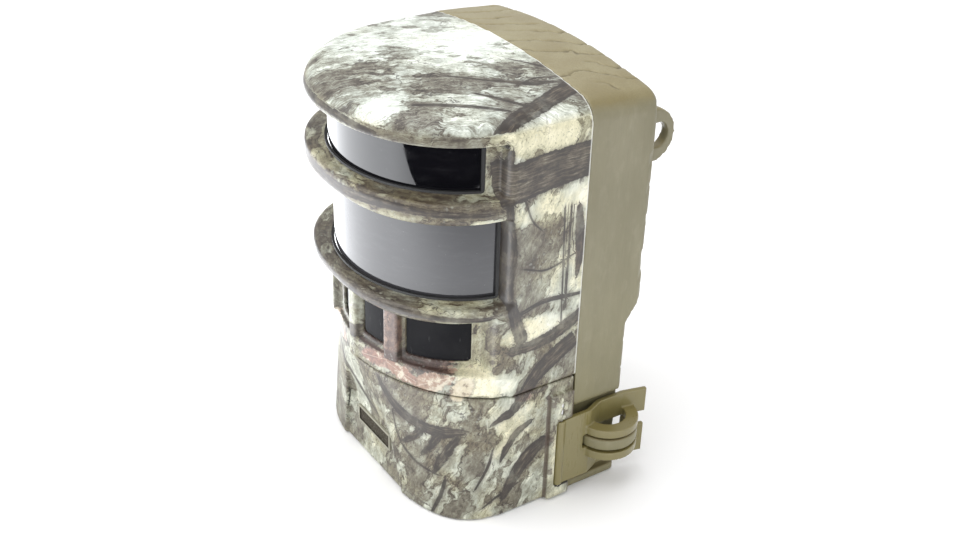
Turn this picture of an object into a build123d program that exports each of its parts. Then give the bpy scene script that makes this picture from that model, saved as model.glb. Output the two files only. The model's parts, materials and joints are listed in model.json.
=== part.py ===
"""Panoramic trail camera: every piece is written to parts/NODE.step.

Frame: millimetres, +Z up, the camera looks along -Y, X = 0 is the plane of
symmetry, the origin is the mouth of the tripod socket in the underside.
"""
import math
import os

from build123d import *

# ---------------------------------------------------------------- sizes (mm)
HALF_W = 75.0            # half width of the case
SEAM_Y = -15.0           # plane where the front bezel meets the rear housing
REAR_Y = 27.0            # upper rear face
REAR_LOW_Y = 18.5        # lower rear face
STEP_LOW_Z = 100.0
STEP_TOP_Z = 113.0
SIDE_TOP_Z = 228.0       # height of the shoulder at the seam
CROWN = 7.3              # how far the top rises above the shoulder
SHOULDER_R = 11.0
WALL = 2.6

ARC_Y = -49.7            # where the sides end and the curved front starts
COLUMN1_Y = -61.0        # front of the side columns beside the flash window
COLUMN2_Y = -59.0        # and beside the lens window
HOOD_Z = 218.0           # underside of the hood
HOOD_B = 69.5            # how far the hood reaches in front of ARC_Y
LEDGE1 = (178.4, 189.6, 68.0)     # z low, z high, reach
LEDGE2 = (123.7, 130.6, 64.7)
FLASH_A, FLASH_B = 65.0, 60.5     # flash window front surface
LENSW_A, LENSW_B = 65.0, 58.0     # lens window front surface
FLASH_Z = (189.6, 218.0)
LENSW_Z = (130.6, 178.4)
PIR_A, PIR_B = 61.0, 51.5         # front surface of the sensor lenses
PIR_Z = (88.8, 123.7)
PIR_SILL = 3.6                    # sill under each sensor lens opening
BAND_Z = (76.0, 88.8)             # bezel band under the sensor lenses
BAND_B = 55.6
FRONT_POWER = 1.8        # the lower front is a little pointed in plan
FLASH_TURN = 73.0        # half angle of each window opening
LENSW_TURN = 81.0
GLASS_T = 2.0
LOW_RIM, TOP_RIM = 0.4, 3.0       # wall left below and above each window

DOOR_Z = (0.6, 75.2)
DOOR_TOP_B, DOOR_TOP_N = 54.9, 1.8
DOOR_LOW_B, DOOR_LOW_N = 47.2, 3.0
DOOR_BACK_Y = -16.0
PANEL_Y = -93.6                   # recessed centre panel of the door
PANEL_TOP_X, PANEL_LOW_X = 14.0, 32.0

HINGE_X = 77.0
HINGE_Y = -24.5
PIN_R = 1.2
LATCH_Z = (9.0, 51.0)
SLOT_Z = (27.4, 36.0)             # slot in the latch plate for the staple
STAPLE_Z = (28.2, 35.2)
ARC_TOP_Z = (36.6, 41.4)          # upper and lower padlock eyes of the latch
ARC_LOW_Z = (22.0, 26.8)
EYE_Y = 9.0                       # centre of the padlock eyes

TURRET_Y = -66.0
TURRET_R = 27.0
TURRET_Z = (135.0, 174.0)
LENS_Z = 154.0

CHASSIS_X = 60.0
CHASSIS_Y = (-76.0, 12.0)
CHASSIS_Z = (3.6, 76.0)
SHELF_Z = 42.0                    # shelf between battery bay and control bay
PANEL_T = 2.0

os.makedirs("parts", exist_ok=True)


def save(node, *solids):
    """Write one node; several solids in a node stay separate solids."""
    shape = solids[0] if len(solids) == 1 else Compound(children=list(solids))
    export_step(shape, f"parts/{node}.step")


def block(x0, x1, y0, y1, z0, z1):
    box = Box(x1 - x0, y1 - y0, z1 - z0)
    return Pos((x0 + x1) / 2, (y0 + y1) / 2, (z0 + z1) / 2) * box


def rod(x, y, z0, z1, radius):
    return Pos(x, y, (z0 + z1) / 2) * Cylinder(radius, z1 - z0)


def rod_y(x, z, y0, y1, radius):
    return Pos(x, (y0 + y1) / 2, z) * Rot(90, 0, 0) * Cylinder(radius, y1 - y0)


def rod_x(y, z, x0, x1, radius):
    return Pos((x0 + x1) / 2, y, z) * Rot(0, 90, 0) * Cylinder(radius, x1 - x0)


def front_curve(half, reach, power, count=24):
    """Points of the curved front, from the left side round to the right."""
    points = []
    for i in range(count + 1):
        turn = math.pi * (i / count - 0.5)
        sx = math.copysign(abs(math.sin(turn)) ** (2 / power), math.sin(turn))
        cy = abs(math.cos(turn)) ** (2 / power)
        points.append((half * sx, ARC_Y - reach * cy))
    return points


def plan_face(half, reach, power, z, back_y):
    """Flat outline at height z: straight sides, curved front."""
    points = [Vector(x, y, z) for x, y in front_curve(half, reach, power)]
    curve = Spline(*points, tangents=[(0, -1, 0), (0, 1, 0)])
    left = Vector(-half, back_y, z)
    right = Vector(half, back_y, z)
    edges = [
        curve,
        Line(points[-1], right),
        Line(right, left),
        Line(left, points[0]),
    ]
    return make_face(edges)


def slab(half, reach, power, z0, z1, back_y=SEAM_Y):
    return extrude(plan_face(half, reach, power, z0, back_y), z1 - z0, dir=(0, 0, 1))


def sheet(half, reach, thick, z0, z1, turn0, turn1, inset_back=0.0):
    """Curved sheet following the front, between two turns (degrees)."""
    outer = [(half * math.sin(math.radians(t)), ARC_Y - reach * math.cos(math.radians(t)))
             for t in spread(turn0, turn1)]
    inner = [((half - thick) * math.sin(math.radians(t)),
              ARC_Y - (reach - thick) * math.cos(math.radians(t)))
             for t in spread(turn0, turn1)]
    front = Spline(*[Vector(x, y, z0) for x, y in outer])
    back = Spline(*[Vector(x, y, z0) for x, y in reversed(inner)])
    edges = [
        front,
        Line(front @ 1, back @ 0),
        back,
        Line(back @ 1, front @ 0),
    ]
    return extrude(make_face(edges), z1 - z0, dir=(0, 0, 1))


def spread(start, end, step=6.0):
    count = max(4, int(abs(end - start) / step))
    return [start + (end - start) * i / count for i in range(count + 1)]


def on_front(half, reach, turn):
    """Point on the curved front and the outward direction there."""
    t = math.radians(turn)
    x = half * math.sin(t)
    y = ARC_Y - reach * math.cos(t)
    nx = math.sin(t) / half
    ny = -math.cos(t) / reach
    size = math.hypot(nx, ny)
    return x, y, nx / size, ny / size


# ------------------------------------------------------------- rear housing
def arch_face(inset, y, drop=0.0):
    """Front view of the case with its shoulders and crowned top."""
    half = HALF_W - inset
    low = inset
    side = SIDE_TOP_Z - inset - drop
    crown = ThreePointArc((-half, side), (0, side + CROWN), (half, side))
    edges = [
        crown,
        Line((half, side), (half, low)),
        Line((half, low), (-half, low)),
        Line((-half, low), (-half, side)),
    ]
    face = make_face(edges)
    corners = face.vertices().filter_by(lambda v: v.Y > side - 1)
    face = fillet(corners, SHOULDER_R - inset)
    return Plane.XZ.offset(-y) * face


def housing_solid(inset, y0, y1, rear_radius):
    body = loft([arch_face(inset, y0), arch_face(inset + 0.4, y1, 2.6)], ruled=True)
    if rear_radius:
        rim = body.faces().sort_by(Axis.Y)[-1].edges()
        body = fillet(rim, rear_radius)
    return body


def rear_step(shift):
    """Everything behind the stepped lower rear face."""
    profile = Polyline(
        (REAR_LOW_Y - shift, -5),
        (REAR_LOW_Y - shift, STEP_LOW_Z + shift),
        (REAR_Y + 1, STEP_TOP_Z + 1 + shift),
        (REAR_Y + 30, STEP_TOP_Z + 1 + shift),
        (REAR_Y + 30, -5),
        close=True,
    )
    return extrude(Plane.YZ * make_face(profile), 90, both=True)


def cable_eye(side):
    """Ear behind the upper rear face with a hole for a cable or strap."""
    ear = rod_x(31, 197, 58, 64, 15) + block(58, 64, 22, 31, 182, 212)
    hole = rod_x(34.5, 197, 50, 70, 7)
    ear = ear - hole - block(50, 70, 0, 24.6, 170, 220)
    return ear if side > 0 else mirror(ear, Plane.YZ)


def staple():
    """Middle padlock eye, moulded on the housing side."""
    z0, z1 = STAPLE_Z
    ring = rod(74, EYE_Y, z0, z1, 17.4) - rod(74, EYE_Y, z0 - 1, z1 + 1, 10.4)
    ring = ring & block(69.9, 95, EYE_Y - 20, EYE_Y + 6.9, z0, z1)
    tail = block(69.9, 74.2, EYE_Y - 17.3, EYE_Y - 10.5, z0, z1)
    hook = rod(74, EYE_Y, z0, z1, 17.4) - rod(74, EYE_Y, z0 - 1, z1 + 1, 10.4)
    hook = hook & block(72.5, 95, EYE_Y + 6.8, EYE_Y + 20, z0, z1)
    return ring + hook + tail


def rear_housing():
    outer = housing_solid(0.0, SEAM_Y, REAR_Y, 6.0) - rear_step(0.0)
    lower_rim = outer.edges().filter_by(
        lambda e: abs(e.center().Y - REAR_LOW_Y) < 0.5 and abs(e.center().X) > 70)
    outer = fillet(lower_rim, 5.0)
    inner = housing_solid(WALL, SEAM_Y - 1, REAR_Y - WALL, 3.4) - rear_step(WALL)
    latch_wall = block(67.0, 76, SEAM_Y - 2, REAR_Y, 0, 58)
    body = outer - (inner - latch_wall)
    body = body - block(69.9, 80, SEAM_Y - 1, REAR_Y, 5, 55)
    body = body - block(67, 80, SEAM_Y - 1, SEAM_Y + 0.01, 2.6, 58)
    socket_boss = rod(0, 0, 0, 11, 8)
    jack_boss = block(31, 43, -6, 6, 0, 11)
    body = body + socket_boss + jack_boss + cable_eye(1) + cable_eye(-1) + staple()
    for x, z in SCREW_AT:
        body = body + rod_y(x, z, SEAM_Y, REAR_Y - 1.5, 4.5)
        body = body - rod_y(x, z, SEAM_Y - 1, REAR_Y + 4, 1.7)
        body = body - rod_y(x, z, REAR_Y - 4.0, REAR_Y + 4, 3.4)
    body = body - rod(0, 0, -1, 10.4, 4.6)
    body = body - rod(37, 0, -1, 8.6, 4.0)
    body = body - rod(37, 0, 8.5, 14, 2.2)
    return body


SCREW_AT = [(-62, 205), (62, 205), (-62, 130), (62, 130)]


def case_screws():
    screws = []
    for x, z in SCREW_AT:
        screw = rod_y(x, z, SEAM_Y - 8, REAR_Y - 4.0, 1.6)
        screw = screw + rod_y(x, z, REAR_Y - 4.0, REAR_Y - 2.0, 3.1)
        slot = block(x - 0.4, x + 0.4, REAR_Y - 2.8, REAR_Y, z - 2.2, z + 2.2)
        bar = block(x - 2.2, x + 2.2, REAR_Y - 2.8, REAR_Y, z - 0.4, z + 0.4)
        screws.append(screw - slot - bar)
    return screws


# ------------------------------------------------------------- front bezel
def hood_levels():
    """(height, inset) pairs of the rounded shoulder and crowned top."""
    levels = [(0.0, 0.0)]
    for angle in (15, 30, 45, 60):
        turn = math.radians(angle)
        levels.append((SHOULDER_R * math.sin(turn), SHOULDER_R * (1 - math.cos(turn))))
    shoulder = [(SIDE_TOP_Z - SHOULDER_R + 1.0 + rise, inset) for rise, inset in levels]
    top = []
    for inset in (9.5, 15.0, 24.0, 36.0, 48.0, 60.0):
        rise = CROWN * (1 - ((HALF_W - inset) / HALF_W) ** 2)
        top.append((SIDE_TOP_Z + rise, inset))
    return shoulder + top


def hood_body(inset):
    z_start = HOOD_Z + (inset if inset else 0.0)
    body = slab(HALF_W - inset, HOOD_B - inset, 2.1, z_start - (6 if inset else 0),
                HOOD_Z + 0.5 + (inset if inset else 0))
    levels = hood_levels()
    faces = [plan_face(HALF_W - inset, HOOD_B - inset, 2.1, HOOD_Z + 0.4, SEAM_Y)]
    for z, level_inset in levels:
        if z <= HOOD_Z + 0.5:
            continue
        total = min(level_inset, 60.0) + inset
        if HOOD_B - total < 4:
            continue
        power = 2.1
        faces.append(plan_face(HALF_W - total, HOOD_B - total, power, z - inset, SEAM_Y))
    for low, high in zip(faces, faces[1:]):
        body = body + loft([low, high], ruled=True)
    return body


def ledge(spec):
    """Visor below a window; its rim is rounded in short steps."""
    z0, z1, reach = spec
    rim = [(z0, 2.2), (z0 + 0.7, 0.7), (z0 + 2.2, 0.0), (z1 - 2.2, 0.0), (z1 - 0.7, 0.7), (z1, 2.2)]
    faces = [plan_face(HALF_W - inset, reach - inset, 2.3, z, SEAM_Y) for z, inset in rim]
    body = None
    for low, high in zip(faces, faces[1:]):
        layer = loft([low, high], ruled=True)
        body = layer if body is None else body + layer
    left, right = side_blocks(z0, z1, COLUMN1_Y)
    return body + left + right


def side_blocks(z0, z1, front_y):
    left = block(-HALF_W, -60, front_y, SEAM_Y, z0, z1)
    right = block(60, HALF_W, front_y, SEAM_Y, z0, z1)
    left = fillet(left.edges().filter_by(Axis.Z).sort_by(SortBy.LENGTH)
                  .filter_by(lambda e: e.center().X < -74 and e.center().Y < front_y + 1), 4)
    right = mirror(left, Plane.YZ)
    return left, right


def window_frame(half, reach, zs, column_y):
    """Wall around a window: band above and below, columns at both ends."""
    z0, z1 = zs
    wall = slab(half + 1.4, reach + 1.6, 2.0, z0, z1)
    left, right = side_blocks(z0, z1, column_y)
    return wall + left + right


def window_gap(half, reach, zs, turn):
    gap = sheet(half + 6, reach + 6, 14, zs[0] + LOW_RIM, zs[1] - TOP_RIM, -turn, turn)
    verticals = gap.edges().filter_by(Axis.Z)
    return fillet(verticals, 1.0)


def front_bezel():
    solid = hood_body(0.0)
    solid = solid + window_frame(FLASH_A, FLASH_B, FLASH_Z, COLUMN1_Y)
    solid = solid + window_frame(LENSW_A, LENSW_B, LENSW_Z, COLUMN2_Y)
    solid = solid + ledge(LEDGE1) + ledge(LEDGE2)
    solid = solid + slab(HALF_W, BAND_B, FRONT_POWER, *BAND_Z)
    left, right = side_blocks(PIR_Z[0] - 0.1, PIR_Z[1] + 0.1, -66.0)
    solid = solid + left + right + slab(PIR_A + 1.5, PIR_B + 1.5, 2.0, *PIR_Z)
    column = block(-3.6, 3.6, -107, -80, BAND_Z[0], PIR_Z[1])
    column = fillet(column.edges().filter_by(Axis.Z), 1.8)
    solid = solid + (column & slab(90, 57.0, 2.0, BAND_Z[0], PIR_Z[1] + 1))
    for turn in (-27, 27):
        x, y, nx, ny = on_front(64.5, 53.5, turn)
        rib = Box(8.5, 9, PIR_Z[1] - PIR_Z[0] + 1)
        angle = math.degrees(math.atan2(ny, nx)) + 90
        solid = solid + Pos(x, y, sum(PIR_Z) / 2) * Rot(0, 0, angle) * rib
    # hollow: hood, windows, sensor zone, band
    solid = solid - hood_body(WALL)
    core_a = FLASH_A - 1.1
    solid = solid - slab(core_a, FLASH_B - 1.1, 2.0, LEDGE1[1] - 2, HOOD_Z + 6)
    solid = solid - slab(LENSW_A - 1.1, LENSW_B - 1.1, 2.0, LEDGE2[0] + 2, LEDGE1[1])
    solid = solid - slab(PIR_A - 0.9, PIR_B - 0.9, 2.0, BAND_Z[0] + WALL, LEDGE2[1])
    solid = solid - block(-HALF_W + WALL, HALF_W - WALL, COLUMN2_Y + 3.4, SEAM_Y + 1,
                          BAND_Z[0] + WALL, SIDE_TOP_Z - 8)
    solid = solid - block(-52, 52, -60, SEAM_Y + 1, BAND_Z[0] - 1, BAND_Z[0] + 6)
    # window and sensor lens openings
    solid = solid - window_gap(FLASH_A, FLASH_B, FLASH_Z, FLASH_TURN)
    solid = solid - window_gap(LENSW_A, LENSW_B, LENSW_Z, LENSW_TURN)
    for turn0, turn1 in PIR_TURNS:
        solid = solid - sheet(PIR_A + 8, PIR_B + 8, 13, PIR_Z[0] + PIR_SILL, PIR_Z[1] - 2.0,
                              turn0, turn1)
    for side in (-1, 1):
        solid = solid - rod_y(side * 72, 121.0, -80, -60, 1.0)
    # screw posts that take the case screws
    for x, z in SCREW_AT:
        post = rod_y(x, z, SEAM_Y - 14, SEAM_Y, 4.5)
        tie = block(min(x, x * 1.18), max(x, x * 1.18), SEAM_Y - 14, SEAM_Y, z - 2, z + 2)
        solid = solid + post + tie
        solid = solid - rod_y(x, z, SEAM_Y - 9, SEAM_Y + 1, 1.65)
    return solid


PIR_TURNS = [(-68, -33), (-21, -4.0), (4.0, 21), (33, 68)]
PIR_NAMES = ["outer_left", "inner_left", "inner_right", "outer_right"]


def window_sheet(half, reach, zs, turn):
    return sheet(half - 1.45, reach - 1.45, GLASS_T, zs[0] - 1.4, zs[1] - 1.0,
                 -turn - 3, turn + 3)


def window_gasket(half, reach, zs, turn):
    """Thin rubber frame in the opening, in front of the window."""
    z0 = zs[0] + LOW_RIM
    z1 = zs[1] - TOP_RIM
    outer = sheet(half + 0.3, reach + 0.3, 1.4, z0, z1, -turn, turn)
    inner = sheet(half + 4, reach + 4, 12, z0 + 1.3, z1 - 1.3, 1.6 - turn, turn - 1.6)
    return outer - inner


# ------------------------------------------------------------ infrared flash
LED_TURNS = {"left": -50, "center": 0, "right": 50}


def ir_board(turn):
    x, y, nx, ny = on_front(52, 47, turn)
    angle = math.degrees(math.atan2(ny, nx)) + 90
    return Pos(x, y, 203) * Rot(0, 0, angle) * Box(38, 1.6, 21), x, y, nx, ny


def ir_leds():
    leds = []
    for turn in LED_TURNS.values():
        _, x, y, nx, ny = ir_board(turn)
        angle = math.degrees(math.atan2(ny, nx))
        for row in range(3):
            for col in range(5):
                along = (col - 2) * 7.2
                z = 203 + (row - 1) * 6.6
                px = x + nx * 0.8 - ny * along
                py = y + ny * 0.8 + nx * along
                body = Cylinder(2.5, 4.4, align=(Align.CENTER, Align.CENTER, Align.MIN))
                tip = Pos(0, 0, 4.4) * (Sphere(2.5) & Pos(0, 0, 2) * Box(6, 6, 4))
                leds.append(Pos(px, py, z) * Rot(0, 0, angle) * Rot(0, 90, 0) * (body + tip))
    return leds


# ------------------------------------------------------------------- turret
def turret_drum():
    z0, z1 = TURRET_Z
    drum = rod(0, TURRET_Y, z0, z1, TURRET_R)
    drum = fillet(drum.edges().sort_by(Axis.Z)[-1], 3)
    drum = drum - rod(0, TURRET_Y, z0 + 2.5, z1 - 2.5, TURRET_R - 2.5)
    drum = drum - rod_y(0, LENS_Z, TURRET_Y - 40, TURRET_Y - 10, 9.05)
    drum = drum - rod(0, TURRET_Y, z0 - 1, z0 + 3, 2.5)
    hub = rod(0, TURRET_Y, z0 + 0.01, z0 + 8, 5) - rod(0, TURRET_Y, z0 - 1, z0 + 9, 2.5)
    return drum + hub


def lens_barrel():
    barrel = rod_y(0, LENS_Z, TURRET_Y - 33, TURRET_Y - 12, 9.0)
    barrel = barrel - rod_y(0, LENS_Z, TURRET_Y - 34, TURRET_Y - 29, 7.0)
    barrel = barrel - rod_y(0, LENS_Z, TURRET_Y - 30, TURRET_Y - 11, 4.0)
    return barrel + rod_y(0, LENS_Z, TURRET_Y - 14, TURRET_Y - 12, 10.5) - rod_y(
        0, LENS_Z, TURRET_Y - 30, TURRET_Y - 11, 4.0)


def lens_glass():
    ball = Pos(0, TURRET_Y - 29 + 9.5, LENS_Z) * Sphere(11.6)
    return ball & rod_y(0, LENS_Z, TURRET_Y - 31.8, TURRET_Y - 29, 6.9)


def sensor_board():
    board = block(-12, 12, TURRET_Y - 11.9, TURRET_Y - 10.4, LENS_Z - 12, LENS_Z + 12)
    return board


def turret_motor():
    body = rod(0, TURRET_Y, 106, 126, 14)
    flange = block(-21, 21, TURRET_Y - 5, TURRET_Y + 5, 125.99, 127.4)
    boss = rod(0, TURRET_Y, 127.3, 129, 4.5)
    return body + flange + boss


def turret_shaft():
    return rod(0, TURRET_Y, 129.2, TURRET_Z[0] + 8, 2.5)


def turret_base():
    """Plate that carries the motor, hung from the bezel floor posts."""
    plate = block(-30, 30, TURRET_Y - 16, TURRET_Y + 24, 127.4, 129.4)
    plate = plate - rod(0, TURRET_Y, 127, 130, 4.8)
    legs = [block(x - 2.5, x + 2.5, TURRET_Y + 18, TURRET_Y + 23, 86, 127.5)
            for x in (-27, 27)]
    feet = [block(x - 4, x + 4, TURRET_Y + 5, TURRET_Y + 23, BAND_Z[0] + 6, 88)
            for x in (-27, 27)]
    tie = block(-56, 56, TURRET_Y + 15, TURRET_Y + 23, BAND_Z[0] + WALL, BAND_Z[0] + 6.1)
    body = plate + tie
    for piece in legs + feet:
        body = body + piece
    return body


# ------------------------------------------------------------------- boards
def main_board():
    board = block(-52, 52, 8.0, 9.6, 116, 208)
    for x in (-47, 47):
        for z in (126, 202):
            board = board - rod_y(x, z, 0, 20, 1.7)
    return board


def board_posts():
    posts = []
    for x in (-47, 47):
        for z in (126, 202):
            posts.append(rod_y(x, z, 9.6, REAR_Y - WALL - 0.2, 3.2) + rod_y(x, z, 7, 9.7, 1.6))
    return posts


def main_board_chips():
    spots = [(-25, 175, 16, 16, 2), (8, 178, 14, 14, 2), (-28, 140, 12, 18, 2.2),
             (20, 140, 10, 10, 1.6), (36, 190, 12, 8, 6), (-5, 122, 30, 7, 5)]
    chips = []
    for x, z, w, h, t in spots:
        chips.append(block(x - w / 2, x + w / 2, 8 - t, 8, z - h / 2, z + h / 2))
    return chips


def pir_board(side):
    turn = side * 44
    x, y, nx, ny = on_front(41, 33, turn)
    angle = math.degrees(math.atan2(ny, nx)) + 90
    board = Pos(x, y, 106) * Rot(0, 0, angle) * Box(44, 1.6, 20)
    return board, x, y, nx, ny


def pir_sensors():
    cans = []
    for side in (-1, 1):
        _, x, y, nx, ny = pir_board(side)
        angle = math.degrees(math.atan2(ny, nx))
        for along in (-11, 11):
            px = x + nx * 0.8 - ny * along
            py = y + ny * 0.8 + nx * along
            can = Cylinder(4.6, 4.2, align=(Align.CENTER, Align.CENTER, Align.MIN))
            cans.append(Pos(px, py, 106) * Rot(0, 0, angle) * Rot(0, 90, 0) * can)
    return cans


# ------------------------------------------------------------------ chassis
def underside_room(z0, z1):
    """Room over the tripod boss and the jack boss, open to the rear."""
    return block(-9.3, 9.3, -9.3, 14, z0, z1) + block(29.8, 44.2, -7.2, 14, z0, z1)


def chassis():
    y0, y1 = CHASSIS_Y
    z0, z1 = CHASSIS_Z
    body = block(-CHASSIS_X, CHASSIS_X, y0, y1, z0, z1)
    body = body - block(-58, 58, y0 - 1, y1 - 2, z0 + 2, SHELF_Z)
    body = body - block(-58, 58, y0 - 1, y1 - 2, SHELF_Z + 2, z1 - 2)
    body = body - block(-50, 50, -60, y1 - 30, z1 - 3, z1 + 1)
    return body - underside_room(3.0, 11.3)


BUTTONS = {
    "button_up": (30, 66.5),
    "button_down": (30, 49.5),
    "button_left": (20.5, 58),
    "button_right": (39.5, 58),
    "button_ok": (30, 58),
    "button_mode": (12, 49.0),
}
BUTTON_R = 3.0


def control_panel():
    y0 = CHASSIS_Y[0]
    plate = block(-58, 58, y0 + 1, y0 + 1 + PANEL_T, SHELF_Z + 2, CHASSIS_Z[1] - 2)
    plate = plate - block(-35, 3, y0, y0 + 4, 47, 69)
    for x, z in BUTTONS.values():
        plate = plate - rod_y(x, z, y0, y0 + 4, BUTTON_R + 0.35)
    plate = plate - block(-54, -39, y0, y0 + 4, 60, 66)
    plate = plate - block(47.5, 50.5, y0, y0 + 4, 47, 72)
    plate = plate - block(-51.2, -41.8, y0, y0 + 4, 46.8, 51.2)
    for x, z in PANEL_SCREW_AT:
        plate = plate - rod_y(x, z, y0, y0 + 4, 1.3)
    return plate


PANEL_SCREW_AT = [(-54.6, 47), (-54.6, 69.5), (54.6, 47), (54.6, 69.5)]


def panel_screws():
    y0 = CHASSIS_Y[0]
    screws = []
    for x, z in PANEL_SCREW_AT:
        screw = rod_y(x, z, y0 + 0.01, y0 + 7, 1.2) + rod_y(x, z, y0 - 0.6, y0 + 1, 1.9)
        screws.append(screw - block(x - 1.5, x + 1.5, y0 - 1, y0 - 0.1, z - 0.3, z + 0.3))
    return screws


def panel_bosses():
    y0 = CHASSIS_Y[0] + 1 + PANEL_T
    bosses = None
    for x, z in PANEL_SCREW_AT:
        toward = 58 if x > 0 else -58
        boss = block(min(x - 1.9, toward), max(x + 1.9, toward), y0, y0 + 6, z - 2.2, z + 2.2)
        boss = boss - rod_y(x, z, y0 - 1, y0 + 5, 1.25)
        bosses = boss if bosses is None else bosses + boss
    return bosses


def button(x, z):
    y0 = CHASSIS_Y[0]
    cap = rod_y(x, z, y0 - 1.4, y0 + 4.3, BUTTON_R)
    cap = fillet(cap.edges().sort_by(Axis.Y)[0], 0.6)
    return cap + rod_y(x, z, y0 + 3.1, y0 + 4.3, BUTTON_R + 0.8) + rod_y(x, z, y0 + 4.2, y0 + 6.4, 1.4)


def panel_board():
    """Circuit board behind the control panel."""
    y0 = CHASSIS_Y[0]
    board = block(-50, 45.2, y0 + 7.4, y0 + 9.0, SHELF_Z + 3, CHASSIS_Z[1] - 4)
    return board


def lcd_screen():
    y0 = CHASSIS_Y[0]
    glass = block(-34.8, 2.8, y0 + 1.3, y0 + 7.4, 47.2, 68.8)
    return glass


def power_switch():
    y0 = CHASSIS_Y[0]
    knob = block(-49.5, -43.5, y0 - 1.5, y0 + 4.0, 60.6, 65.4)
    return knob + block(-51, -42, y0 + 3.6, y0 + 6.6, 59.5, 66.5)


def sd_slot():
    y0 = CHASSIS_Y[0]
    shell = block(45.4, 52.6, y0 + 7.5, y0 + 34, 45.4, 73.6)
    shell = shell - block(47.7, 50.3, y0 + 7, y0 + 35, 47.1, 71.9)
    return shell + block(46.5, 51.5, y0 + 33.9, y0 + 35.2, 45.4, 73.6)


def sd_card():
    y0 = CHASSIS_Y[0]
    card = block(47.95, 50.05, y0 - 0.5, y0 + 31.5, 47.5, 71.5)
    notch = Pos(49, y0 + 31.5, 47.5) * Rot(45, 0, 0) * Box(4, 5, 5)
    return card - notch


def usb_port():
    y0 = CHASSIS_Y[0]
    shell = block(-51, -42, y0 + 0.6, y0 + 7.3, 47, 51)
    hollow = block(-50.3, -42.7, y0, y0 + 6.5, 47.7, 50.3)
    return shell - hollow + block(-48.5, -44.5, y0 + 1.5, y0 + 7, 48.6, 49.3)


# ------------------------------------------------------------------ battery
TRAY_X = 57.5
TRAY_Y = (-75.0, 7.5)
TRAY_Z = (6.2, 40.0)
CELL_R = 13.0
CELL_Z = 24.8
CELL_Y = [-60.5, -33.9, -7.3]


def battery_tray():
    y0, y1 = TRAY_Y
    z0, z1 = TRAY_Z
    tray = block(-TRAY_X, TRAY_X, y0, y1, z0, z1)
    for y in CELL_Y:
        well = rod_x(y, CELL_Z, -54.5, 54.5, CELL_R + 0.3) + block(
            -54.5, 54.5, y - CELL_R - 0.3, y + CELL_R + 0.3, CELL_Z, z1 + 1)
        tray = tray - well
    for y in (CELL_Y[0] + CELL_Y[1], CELL_Y[1] + CELL_Y[2]):
        tray = tray - block(-50, 50, y / 2 - 1, y / 2 + 1, CELL_Z + 6, z1 + 1)
    pull = block(-14, 14, y0 - 3.0, y0 + 0.1, 18, 24)
    pull = fillet(pull.edges().filter_by(Axis.X).sort_by(Axis.Y)[0:2], 1.2)
    return tray + pull - underside_room(3.0, 12.0)


def battery_cells():
    cells = []
    for y in CELL_Y:
        for x0 in (-51.5, 1.5):
            body = rod_x(y, CELL_Z, x0, x0 + 48.0, CELL_R)
            body = fillet(body.edges().filter_by(GeomType.CIRCLE), 0.8)
            cells.append(body + rod_x(y, CELL_Z, x0 + 47.9, x0 + 49.6, 3.2))
    return cells


def battery_contacts():
    plates = []
    for y in CELL_Y:
        for side in (-1, 1):
            x0 = 53.3 if side > 0 else -54.4
            plates.append(block(x0, x0 + 1.1, y - 7, y + 7, CELL_Z - 7, CELL_Z + 7))
    return plates


# --------------------------------------------------------------------- door
def door_body(inset, z0, z1):
    low = plan_face(HALF_W - inset, DOOR_LOW_B - inset, DOOR_LOW_N, z0, DOOR_BACK_Y)
    top = plan_face(HALF_W - inset, DOOR_TOP_B - inset, DOOR_TOP_N, z1, DOOR_BACK_Y)
    return loft([low, top], ruled=True)


def panel_cut(shift):
    """Wedge in front of the recessed centre panel."""
    side = Polyline(
        (PANEL_Y - 0.6 + shift, -5),
        (PANEL_Y + shift, 34),
        (PANEL_Y - 10.5 + shift, 73),
        (PANEL_Y - 40, 73),
        (PANEL_Y - 40, -5),
        close=True,
    )
    wedge = extrude(Plane.YZ * make_face(side), 60, both=True)
    front = Polyline(
        (-PANEL_LOW_X - 1 - shift, -5),
        (-PANEL_TOP_X - shift, 80),
        (PANEL_TOP_X + shift, 80),
        (PANEL_LOW_X + 1 + shift, -5),
        close=True,
    )
    prism = extrude(Plane.XZ * make_face(front), 160)
    return wedge & prism


def hinge_strip(side):
    """Proud strip on the door side that holds a hinge pin."""
    strip = block(73, 79, -32, -17.2, 1.2, 69)
    strip = fillet(strip.edges().filter_by(Axis.Z).filter_by(
        lambda e: e.center().X > 78), 1.6)
    return strip if side > 0 else mirror(strip, Plane.YZ)


def hinge_pocket(side):
    pocket = block(73.6, 90, -27.6, -10, LATCH_Z[0] - 0.4, LATCH_Z[1] + 0.4)
    bore = rod(HINGE_X, HINGE_Y, 4, 64, PIN_R + 0.03)
    window = block(HINGE_X - 1.2, 90, HINGE_Y - 1.2, HINGE_Y + 1.2, 55.5, 58)
    window2 = block(HINGE_X - 1.2, 90, HINGE_Y - 1.2, HINGE_Y + 1.2, 60, 62.4)
    cut = pocket + bore + window + window2
    return cut if side > 0 else mirror(cut, Plane.YZ)


def front_door():
    z0, z1 = DOOR_Z
    outer = door_body(0.0, z0, z1) - panel_cut(0.0)
    cavity = door_body(WALL, z0 + 2.4, z1 + 0.5) - panel_cut(WALL)
    cavity = cavity + block(-HALF_W + WALL, HALF_W - WALL, -40, DOOR_BACK_Y + 1,
                            z0 + 2.4, z1 + 1)
    door = outer - cavity
    for side in (-1, 1):
        door = door + hinge_strip(side)
    for side in (-1, 1):
        door = door - hinge_pocket(side)
    door = door - block(-17.6, 17.6, PANEL_Y - 3, PANEL_Y + 0.9, 18.6, 29.4)
    return door


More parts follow.
